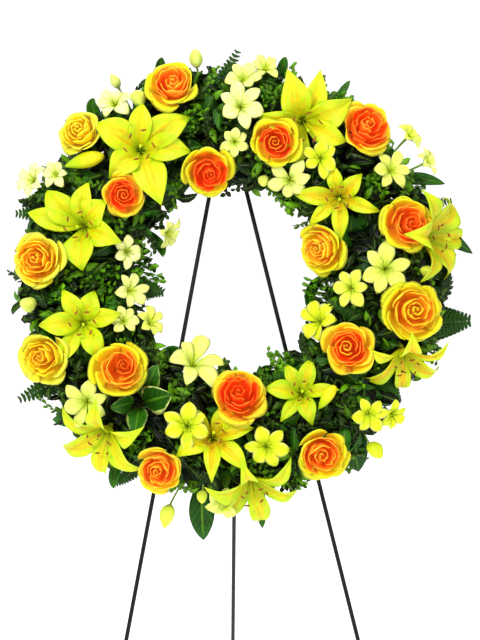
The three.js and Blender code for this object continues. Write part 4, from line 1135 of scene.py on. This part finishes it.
# Fern fronds: leaflets stand in pairs along the rib, each a row of small leaves on both sides of its own
# rib. A leaflet's length is the frond's half width, narrowing to the tip, and it slants forward and
# droops.
def fernFronds(line, up, width, tint, pairs=16, small=5):
    count = len(up)
    share = np.linspace(0.2, 0.98, pairs)
    rib = curves(line, share)
    tangent = unit(np.gradient(rib, axis=1))
    across = unit(np.cross(tangent, up[:, None]))
    normal = np.cross(across, tangent)
    sides = np.array([-1, 1])[:, None]
    taper = (np.clip(1.12 - share, 0, 1) ** 0.75 * smooth(-0.2, 0.32, share))[None, :, None, None]
    length = (width[:, None, None, None] * taper)[..., None]
    out = unit(across[:, :, None] * sides * 0.86 + tangent[:, :, None] * 0.5)
    sag = normal[:, :, None, None]

    def alongLeaflets(steps):
        reach = length * steps[:, None]
        return rib[:, :, None, None] + out[:, :, :, None] * reach - sag * 0.3 * reach * steps[:, None]

    steps = np.linspace(0.1, 0.95, small)
    base = alongLeaflets(steps)[..., None, :] + 0.0 * sides
    size = np.maximum(length[..., None] * (0.42 - 0.24 * steps[:, None, None]), 1.2)
    bladeWay = unit(np.cross(out, normal[:, :, None] + 0 * out))[:, :, :, None, None]
    way = bladeWay * sides * 0.9 + out[:, :, :, None, None] * 0.75
    end = base + size * way - sag[..., None, :] * size * 0.25
    wide = (size + 0 * base[..., :1]).reshape(-1)
    leafUp = (sag[..., None, :] + 0 * base).reshape(-1, 3)
    base, end = base.reshape(-1, 3), end.reshape(-1, 3)
    leafTint = np.repeat(tint, len(base) // count, axis=0)
    leafLine = (base, mix(base, end, 0.35), mix(base, end, 0.7), end)
    leaves = leafBlades(leafLine, leafUp, 0.42 * wide, leafTint, 3, 3, -0.25, 0.1, 0.4)
    whole = np.linspace(0, 1, 12)
    path = curves(line, whole)
    ribs = rods(path, mix(1.1, 0.4, whole), tint[:, None] * 0.9 + 0 * path, 5)
    leafletRibs = alongLeaflets(np.linspace(0, 0.95, 4)).reshape(-1, 4, 3)
    ribTint = np.repeat(tint, pairs * 2, axis=0)
    thin = rods(leafletRibs, 0.35, ribTint[:, None] + 0 * leafletRibs, 4)
    return [(leaves, 0), (ribs, 1), (thin, 1)]


def sectorOf(x, y):
    share = np.mod(np.arctan2(y, x), 2 * np.pi) / (2 * np.pi)
    return np.floor(share * wreath["sectors"]).astype(int)


sectorShapes = [[] for _ in range(wreath["sectors"])]


# Adds shapes to the sector that a place is in.
def addAt(at, shapes):
    sectorShapes[int(sectorOf(*np.array(at, float)))].extend(shapes)


def addBySector(foot, make):
    sector = sectorOf(foot[:, 0], foot[:, 1])
    for k in range(wreath["sectors"]):
        own = sector == k
        if own.any():
            sectorShapes[k] += make(own)


# Whether points come inside the blooms, with a ball round each rose, a shallow bowl in front of each lily
# and a cone in front of each floret, or inside the clearings.
def insideBlooms(points):
    hit = np.zeros(points.shape[:-1], bool)
    for rose in roses:
        foot, turn = roseFrame(rose)
        centre = foot + turn[:, 2] * roseShape["core"] * rose["size"]
        hit |= np.linalg.norm(points - centre, axis=-1) < roseShape["ball"] * rose["size"]
    for lily in lilies:
        point, axis = standing(lily["at"], lily["face"], lilyShape["sink"])
        local = (points - point) @ turnTo(axis)
        reach = lily["reach"]
        radius = np.linalg.norm(local[..., :2], axis=-1)
        off = np.clip(radius / reach, 0, 1)
        petal = lilyShape["rise"] * reach * np.sin(np.pi * lilyShape["curl"] * off)
        hit |= (radius < 0.92 * reach) & (local[..., 2] > petal - 3)
    for spray in sprays:
        for x, y, reach, _ in spray:
            point, axis = standing((x, y), sink=floretShape["sink"])
            local = (points - point) @ turnTo(axis)
            radius = np.linalg.norm(local[..., :2], axis=-1)
            hit |= (radius < 0.9 * reach) & (local[..., 2] > 0.25 * radius)
    for x, y, wide in clearings:
        radius = np.hypot(points[..., 0] - x, points[..., 1] - y)
        hit |= (radius < wide) & (points[..., 2] > greenery["mossTop"] + greenery["clearing"])
    return hit


# How far the greenery's edge goes in and out at an angle: three waves of 5, 9 and 16 rounds.
def edgeWaver(angle):
    return 7 * np.sin(5 * angle + 1) + 6 * np.sin(9 * angle + 4) + 5 * np.sin(16 * angle + 2)


# Unit vectors outwards and round the ring, at the given angles.
def ringWays(angles):
    out = wayAt(angles)
    return out, out[:, [1, 0, 2]] * [-1, 1, 1]


# Filler leaves lie in the bed's surface, each at its own slant, and their stalks go down to the moss.
def fillerLeaves(draw, values):
    count = values["count"]
    angle = draw.uniform(0, 2 * np.pi, count)
    off = draw.uniform(-1, 1, count) * values["spreadOut"]
    radius = wreath["ringRadius"] + off
    x, y = radius * np.cos(angle), radius * np.sin(angle)
    height, out = bedAt(x, y)
    out = unit(out)
    length = draw.uniform(*values["lengths"], count)
    depth = draw.uniform(*values["sink"], count)
    centre = np.stack([x, y, height - depth], axis=-1)
    heading = np.where(draw.uniform(0, 1, count) < 0.55, np.sign(off), 0) + draw.normal(0, 0.55, count)
    radial, ring = ringWays(angle)
    way = unit(radial * heading[:, None] + ring * draw.normal(0, 0.8, count)[:, None])
    way = unit(way - out * np.sum(way * out, axis=-1, keepdims=True))
    up = unit(out + draw.normal(0, values["slant"], (count, 3)))
    way = unit(way + out * draw.normal(0.15, 0.3, count)[:, None])
    tip = centre + way * length[:, None] * 0.55
    tipRadius = np.hypot(tip[:, 0], tip[:, 1])
    near = values["tips"][0] + edgeWaver(angle + 2) + 9 * np.abs(draw.normal(0, 1, count))
    near = near + greenery["topReach"] * smooth(0.6, 0.95, np.sin(angle))
    far = values["tips"][1] + edgeWaver(angle) + 8 * draw.normal(0, 1, count)
    far = np.minimum(far, greenery["furthest"])
    tip[:, :2] *= (np.clip(tipRadius, near, far) / tipRadius)[:, None]
    base = centre - way * length[:, None] * 0.45
    footRadius = np.clip(np.hypot(base[:, 0], base[:, 1]), *greenery["stalkRing"])
    footWay = wayAt(np.arctan2(base[:, 1], base[:, 0]))
    foot = footWay * footRadius[:, None] + [0, 0, greenery["stalkFoot"]]
    return (foot, base, centre + out * 0.1 * length[:, None], tip), up, length


# Whether the shown part of each curved stem or rib keeps out of the blooms.
def alongClear(line):
    return ~insideBlooms(curves(line, np.linspace(0.4, 1, 7))).any(axis=1)


draw = np.random.default_rng(41)

# broad and slim leaves all over the bed
for values in leafSets:
    line, up, length = fillerLeaves(draw, values)
    clear = alongClear(line)
    tone = draw.uniform(0, 1, len(up))[:, None] ** 2.4
    tint = mix(greenTones[values["tones"][0]], greenTones[values["tones"][1]], tone)
    width = values["width"] * length

    def makeLeaves(own):
        own = own & clear
        return [(leafBlades(pick(line, own), up[own], width[own], tint[own], 8, 3, 0.38), 0)]

    addBySector(line[0], makeLeaves)

# leaves over the tray's sides
for values in skirts:
    angle = draw.uniform(0, 2 * np.pi, values["count"])
    angle = angle[np.abs(np.abs(angle - 1.5 * np.pi) - hookAngle["turn"]) > hookAngle["gap"]]
    count = len(angle)
    radial, ring = ringWays(angle)
    foot = radial * values["foot"] + [0, 0, greenery["skirtFoot"]]
    tip = radial * draw.uniform(*values["tip"], count)[:, None] + ring * draw.normal(0, 16, count)[:, None]
    tip[:, 2] = draw.uniform(*values["height"], count)
    outward = np.sign(values["tip"][0] - values["foot"])
    up = unit(radial * outward + [0, 0, 0.5] + 0.3 * draw.normal(0, 1, (count, 3)))
    # their tint runs at random from the painted-shade near black to leaf green
    tint = mix(greenTones["shadeBlack"], greenTones["leaf"], draw.uniform(0, 1, (count, 1)) ** 2)
    width = draw.uniform(5, 9, count)
    line = (foot, mix(foot, tip, 0.3) + [0, 0, 7], mix(foot, tip, 0.7) + [0, 0, 6], tip)

    def makeSkirt(own):
        return [(leafBlades(pick(line, own), up[own], width[own], tint[own], 7, 3, 0.15), 0)]

    addBySector(foot, makeSkirt)

# sprigs: a thin stem with small leaves on both sides
count, each = sprigSet["count"], sprigSet["leaves"]
line, up, _ = fillerLeaves(draw, sprigSet)
stem = curves(line, np.linspace(0, 1, 8))
share = np.linspace(0.35, 1, each)
spot = curves(line, share)
tangent = unit(np.gradient(spot, axis=1))
across = unit(np.cross(tangent, up[:, None]))
normal = np.cross(across, tangent)
turnRound = np.arange(each)[None, :, None] * 2.4
side = across * np.cos(turnRound) + normal * (0.35 * np.sin(turnRound) + 0.25)
leafWay = unit(side + tangent * 0.7)
small = draw.uniform(8, 14, (count, each))[..., None] * (1.1 - 0.4 * share)[None, :, None]
leafTip = spot + leafWay * small
clear = ~insideBlooms(leafTip) & alongClear(line)[:, None]
leafTone = draw.uniform(0, 1, (count, 1, 1)) ** 2.4 + 0 * share[None, :, None]
# at random from the painted-shade near black to bright green
leafTone = mix(greenTones["shadeBlack"], greenTones["bright"], leafTone)


def makeSprigs(own):
    keep = clear & own[:, None]
    a, b = spot[keep], leafTip[keep]
    leafLine = (a, mix(a, b, 0.35), mix(a, b, 0.7), b)
    leafUp = unit(normal[keep] + 0.3 * side[keep])
    leaves = leafBlades(leafLine, leafUp, 0.3 * small[keep][:, 0], leafTone[keep], 5, 3, 0.05, 0.2, 0.4)
    own = own & clear.any(axis=1)
    return [(leaves, 0), (rods(stem[own], 0.7, greenTones["deep"], 5), 1)]


addBySector(line[0], makeSprigs)

# the tufts of close small leaves
for x, y, wide in tufts:
    count = int(2.4 * wide)
    turns, off = draw.uniform(0, 2 * np.pi, count), wide * np.sqrt(draw.uniform(0, 1, count))
    px, py = x + off * np.cos(turns), y + off * np.sin(turns)
    height, out = bedAt(px, py)
    out = unit(out)
    base = np.stack([px, py, height - draw.uniform(12, 26, count)], axis=-1)
    way = unit(out + 0.9 * draw.normal(0, 1, (count, 3)))
    tip = base + way * draw.uniform(9, 15, count)[:, None]
    low = base - out * draw.uniform(20, 34, count)[:, None]
    clear = ~(insideBlooms(base) | insideBlooms(tip))
    low, base, tip, out = pick((low, base, tip, out), clear)
    tone = mix(greenTones["leaf"], greenTones["bright"], draw.uniform(0, 1, (len(base), 1)))
    up = unit(out + 0.6 * draw.normal(0, 1, out.shape))
    width = draw.uniform(2.2, 3.6, len(base))
    line = (low, base, mix(base, tip, 0.5), tip)
    addAt((x, y), [(leafBlades(line, up, width, tone, 6, 3, 0.5, 0.2, 0.4), 0)])


# The curve of a leaf that is seen in the outline or round the hole, from the moss over its root to its
# tip, and its upper side.
def shownLeaf(root, tip, forward, share, rise):
    start, _ = standing(root, sink=greenery["leafSink"])
    end = np.array([*tip, forward], float)
    out = np.array([*root, 0]) / math.hypot(*root)
    middle = mix(start, end, share) + [0, 0, rise]
    return ringPoint(root, greenery["mossTop"]), start, middle, end, np.array([0, 0, 1]) + 0.3 * out


# ferns: the large ones seen in the outline, and more of them in the bed
line, up, length = fillerLeaves(draw, fernSet)
own = alongClear(line)
shown = [shownLeaf(root, tip, forward, 0.5, 9) for root, tip, _, forward in fronds]
*line, up = (np.concatenate([first, rest[own]]) for first, rest in zip(zip(*shown), (*line, up)))
width = np.concatenate([[one[2] for one in fronds], 0.24 * length[own]])
lightness = draw.uniform(0.1, 1, (len(up), 1))
lightness[: len(fronds)] = 0.5 + 0.5 * lightness[: len(fronds)]
tint = mix(greenTones["dark"], greenTones["leaf"], lightness)


def makeFerns(own):
    return fernFronds(pick(line, own), unit(up[own]), width[own], tint[own])


addBySector(line[0], makeFerns)

# the leaves seen in the outline and round the hole
for number, (root, tip, wide, forward) in enumerate(broadLeaves):
    *line, up = (one[None] for one in shownLeaf(root, tip, forward, 0.55, 12))
    tint = mix(greenTones["deep"], greenTones["leaf"], draw.uniform(0.1, 0.9))
    marks = variegated.get(number, 0.0)
    addAt(root, [(leafBlades(line, up, np.array([float(wide)]), tint, 15, 9, 0.3, 0.22, 0.8, marks), 0)])

# lily buds on their stalks
for root, end, wide, forward in lilyBuds:
    foot = ringPoint(root, greenery["mossTop"])
    start, tip = np.array([*root, forward - 8.0]), np.array([*end, forward + 4.0])
    share = np.linspace(0, 1, 13)[:, None]
    body = bezier(start, mix(start, tip, 0.3) + [0, 0, 4], mix(start, tip, 0.7) + [0, 0, 4], tip, share)[None]
    swell = 1.2 + wide * np.sin(np.pi * (0.02 + 0.95 * share[:, 0]) ** 1.25) ** 0.8
    colour = mix(lilyTones["lime"], lilyTones["bud"], smooth(0.1, 0.7, share))[None]
    below = start - 0.3 * (tip - start)
    stalk = bezier(foot, mix(foot, start, 0.4) + [0, 0, 12], below, start, share)[None]
    bud = (rods(body, swell, colour, 14, (3, 0.07)), 3)
    addAt(root, [bud, (rods(stalk, 1.6, greenTones["leaf"], 7), 1)])


# The path of a bloom's stem from its foot in the foam to its seat, which it reaches along the bloom's axis.
def stemPath(at, seat, axis, bend):
    foot = ringPoint(at, stems["foot"])
    share = np.linspace(0, 1, 8)[:, None]
    return bezier(foot, mix(foot, seat, 0.5), seat - axis * bend, seat, share)[None]


# stems and green cups of the roses, and stems of the lilies
for rose in roses:
    foot, turn = roseFrame(rose)
    size, axis, count = rose["size"], turn[:, 2], stems["sepals"]
    path = stemPath(rose["at"], foot - axis * 0.1 * size, axis, 12)
    cup = (foot + axis * size * np.linspace(-0.12, 0.03, 6)[:, None])[None]
    way = wayAt(np.arange(count) * 2 * np.pi / count) @ turn.T
    base = foot + way * 0.07 * size
    line = (
        base,
        base + way * 0.08 * size - axis * 2,
        base + way * 0.18 * size - axis * 3,
        foot + way * 0.34 * size + axis * 0.02 * size,
    )
    up, width = np.tile(axis, (count, 1)), np.full(count, 0.06 * size)
    addAt(rose["at"], [
        (rods(path, stems["rose"], greenTones["deep"], 8), 1),
        (rods(cup, size * np.array(stems["cup"]), greenTones["leaf"], 10), 1),
        (leafBlades(line, up, width, greenTones["leaf"], 6, 3, -0.3, 0.2, 0.6), 0),
    ])
for lily in lilies:
    point, axis = standing(lily["at"], lily["face"], lilyShape["sink"])
    seat = point - axis * (lilyShape["seat"] * lily["reach"] + 0.3)
    path = stemPath(lily["at"], seat, axis, 8)
    addAt(lily["at"], [(rods(path, stems["lily"], greenTones["leaf"], 8), 1)])


# The moss over the foam: a band whose section follows the mat's outline, raised and lowered by low waves.
def mossBand(k, draw):
    section = np.array(moss["section"])
    columns = np.linspace(0, 1, moss["columns"])
    knots = np.linspace(0, 1, len(section))
    profile = np.stack([np.interp(columns, knots, section[:, axis]) for axis in (0, 1)], axis=-1)
    share = 2 * np.pi / wreath["sectors"]
    angle = np.linspace(k * share, (k + 1) * share, moss["rows"])[:, None]
    bump = draw.normal(0, 1, (moss["rows"], moss["columns"])) + np.sin(31 * angle + 9 * columns)
    bump[[0, -1]] = 0
    radius = profile[:, 0] + 0 * angle
    height = profile[:, 1] + moss["bump"] * bump
    grid = np.stack([radius * np.cos(angle), radius * np.sin(angle), height], axis=-1)[None]
    # the moss's near-black green is painted shade, because it lies deep under the leaves
    return blades(grid[:, :, ::-1], moss["thick"], mix(greenTones["shadeBlack"], greenTones["dark"], 0.6))


finishes = [leafBlade, stemSkin, mossMat, floretPetal]
for k, shapes in enumerate(sectorShapes):
    shapes.append((mossBand(k, np.random.default_rng(500 + k)), 2))
    addPiece(f"foliage_{k + 1}", shapes, finishes, [f"greenery_{k + 1}"])
print("greenery is made")

# Foam ring and tray

tray = {"inner": 184, "outer": 256, "depth": 22, "wall": 2.5, "sides": 144, "tone": seen(24, 52, 32)}
foam = {"edge": 3.1, "base": 2.8, "top": 46, "shoulder": 20, "sides": 144, "tone": seen(30, 78, 36)}
inner, outer, depth, wall = tray["inner"], tray["outer"], tray["depth"], tray["wall"]
trayOutline = [
    (inner + 1.5, 0), (outer - 1.5, 0), (outer - 0.4, 0.5), (outer, 1.8),
    (outer, depth - 1), (outer - 0.6, depth), (outer - wall + 0.6, depth), (outer - wall, depth - 1),
    (outer - wall, wall), (inner + wall, wall), (inner + wall, depth - 1), (inner + wall - 0.6, depth),
    (inner + 0.6, depth), (inner, depth - 1), (inner, 1.8), (inner + 0.4, 0.5),
]
foamInner, foamOuter = inner + foam["edge"], outer - foam["edge"]
bend, low = foam["shoulder"], foam["top"] - foam["shoulder"]
turns = np.linspace(0, np.pi / 2, 7)
foamOutline = (
    [(foamInner, foam["base"]), (foamOuter, foam["base"])]
    + [(foamOuter - bend + bend * math.cos(a), low + bend * math.sin(a)) for a in turns]
    + [(foamInner + bend - bend * math.sin(a), low + bend * math.cos(a)) for a in turns]
)
trayShape = turnedRing(trayOutline, tray["sides"], tray["tone"])
foamShape = turnedRing(foamOutline, foam["sides"], foam["tone"])
addPiece("trayShell", [(trayShape, 0)], [trayPlastic], ["ring_tray"])
addPiece("foamBody", [(foamShape, 0)], [foamStuff], ["foam_ring"])
print("foam and tray are made")

# Easel

easel = {
    "wire": 3.0,
    "sides": 24,
    "legLength": 1219,
    "rearLength": 889,
    "splay": math.radians(12.3),
    "top": (7.4, 216),
    "depth": -3.3,
    "tieY": 204,
    "eye": 6.6,
    "restReach": 30,
    "restLip": 5,
    "lipRise": 3,
    "restBend": 5,
    "stapleBend": 3,
    "gap": 0.3,
    "hookGap": 0.6,
    "fitRounds": 20,
    "bentSides": 16,
    "tone": seen(3, 17, 13),
}
floorDown = easel["top"][1] - easel["legLength"] * math.cos(easel["splay"])


# A wire from top to foot, cut level at the floor: every circle of the wall is the wire's own section, and
# the last one lies in the floor.
def levelWire(top, foot, radius, sides):
    way = unit(foot - top)
    steps = np.linspace(0, 1, 40)
    path = top + (foot - top) * steps[:, None]
    shape = rods(path[None], radius, easel["tone"], sides)
    points = shape["points"]
    below = points[:, 2] < 0
    points[below] = points[below] - way * (points[below][:, 2:3] / way[2])
    shape["points"] = points
    return shape


def legX(y):
    return easel["top"][0] + (easel["top"][1] - y) * math.tan(easel["splay"])


def inMetres(points):
    return np.asarray(points, float)


wireRadius = 0.001 * easel["wire"]
for side, sign in (("left", -1), ("right", 1)):
    top = fromEasel(np.array([sign * easel["top"][0], easel["top"][1], easel["depth"]]))
    foot = fromEasel(np.array([sign * legX(floorDown), floorDown, easel["depth"]]))
    foot = top + (foot - top) * top[2] / (top[2] - foot[2])
    low = foot + unit(foot - top) * wireRadius * 2
    leg = levelWire(top, low, wireRadius, easel["sides"])
    addPiece(f"wireLeg_{side}", [(leg, 0)], [wirePaint], [f"easel_leg_{side}"], place=inMetres)


# A wire bent through corner points: each corner is a Bezier curve that starts and ends at the bend's
# length from it.
def bentWire(points, bend, radius):
    points = np.array(points, float)
    route = [points[:1]]
    share = np.linspace(0, 1, 9)[:, None]
    for before, corner, after in zip(points[:-2], points[1:-1], points[2:]):
        a = corner + unit(before - corner) * bend
        d = corner + unit(after - corner) * bend
        route.append(bezier(a, mix(a, corner, 0.6), mix(d, corner, 0.6), d, share))
    route.append(points[-1:])
    path = np.concatenate(route)
    return rods(path[None], radius, easel["tone"], easel["bentSides"])


# the rest: a cross wire between the legs with two hooks that carry the ring, at the height where they
# meet it
beside = (2 * easel["wire"] + easel["gap"]) / math.cos(easel["splay"])
hookRadius = tray["outer"] + easel["wire"] + easel["hookGap"]
low = -tray["outer"]
for _ in range(easel["fitRounds"]):
    low = -math.sqrt(hookRadius**2 - (legX(low) - beside) ** 2)
hookX = legX(low) - beside
inward = np.array([-hookX, -low, 0]) / math.hypot(hookX, low) * easel["restLip"]
hook = [
    np.array([hookX, low, easel["depth"]]),
    np.array([hookX, low, easel["restReach"]]),
    np.array([hookX, low, easel["restReach"] + easel["lipRise"]]) + inward,
]
otherHook = [point * [-1, 1, 1] for point in hook][::-1]
rest = bentWire(otherHook + hook, easel["restBend"], easel["wire"])
addPiece("wireRest", [(rest, 0)], [wirePaint], ["wreath_rest"], place=fromEasel)


# A staple across the backs of the front legs, at one height.
def addStaple(name, y, node):
    x, back = legX(y), wreath["hinge"][2]
    start = easel["depth"] - easel["wire"] - easel["gap"]
    corners = [(-x, y, start), (-x, y, back), (x, y, back), (x, y, start)]
    wire = bentWire(corners, easel["stapleBend"], easel["wire"])
    addPiece(name, [(wire, 0)], [wirePaint], [node], place=fromEasel)


addStaple("wireTie", easel["tieY"], "top_tie")
addStaple("wireStaple", wreath["hinge"][1], "hinge_staple")

# the rear leg with its eye
tilt = math.acos(hingePlace[2] / (0.001 * easel["rearLength"]))
down = np.array([0, math.sin(tilt), -math.cos(tilt)])
eyeRadius = 0.001 * easel["eye"]
start = math.atan2(down[2], down[1])
turn = np.linspace(start, start + 2 * np.pi, 49)
eye = hingePlace + eyeRadius * np.stack([0 * turn, np.cos(turn), np.sin(turn)], axis=-1)
reach = hingePlace[2] / math.cos(tilt) + 2 * wireRadius
rearFoot = hingePlace + down * reach
rearWire = [
    (levelWire(hingePlace + down * eyeRadius, rearFoot, wireRadius, easel["sides"]), 0),
    (rods(eye[None], wireRadius, easel["tone"], easel["bentSides"]), 0),
]
addPiece("wireLeg_rear", rearWire, [wirePaint], ["easel_leg_rear"], body="rear_leg",
         place=inMetres)
print("easel is made")

# Floor and backdrop


# The floor runs back, turns up through a quarter circle and goes on as the backdrop.
def addStage(values):
    bend = np.linspace(0, np.pi / 2, 24)
    radius, wall = values["radius"], values["bend"] + values["radius"]
    curve = np.stack([values["bend"] + radius * np.sin(bend), radius * (1 - np.cos(bend))], axis=-1)
    profile = np.concatenate([[(values["front"], 0)], curve, [(wall, values["height"])]])
    x = np.array([-values["side"], values["side"]])[:, None]
    points = np.stack([x + 0 * profile[:, 0], profile[:, 0] + 0 * x, profile[:, 1] + 0 * x], axis=-1)
    grid = np.arange(2 * len(profile)).reshape(2, -1)
    quads = np.stack([grid[0, :-1], grid[1, :-1], grid[1, 1:], grid[0, 1:]], axis=-1)
    mesh = bpy.data.meshes.new("backdrop")
    mesh.from_pydata(points.reshape(-1, 3).tolist(), [], quads.tolist())
    mesh.polygons.foreach_set("use_smooth", np.ones(len(quads), bool))
    mesh.materials.append(backdropPaper)
    placedStage = bpy.data.objects.new("backdrop", mesh)
    bpy.context.scene.collection.objects.link(placedStage)


backdropPaper = addMaterial(
    "backdropPaper",
    grainSurface,
    {
        "Colour": (0.96, 0.96, 0.96, 1),
        "Worn Colour": (0.93, 0.93, 0.93, 1),
        "Scale": 3.0,
        "Wear": 0.2,
        "Roughness": 0.7,
    },
    0.0001,
    tinted=False,
    Emission_Color=(1, 1, 1, 1),
    Emission_Strength=0.47,
)
addStage(stage)
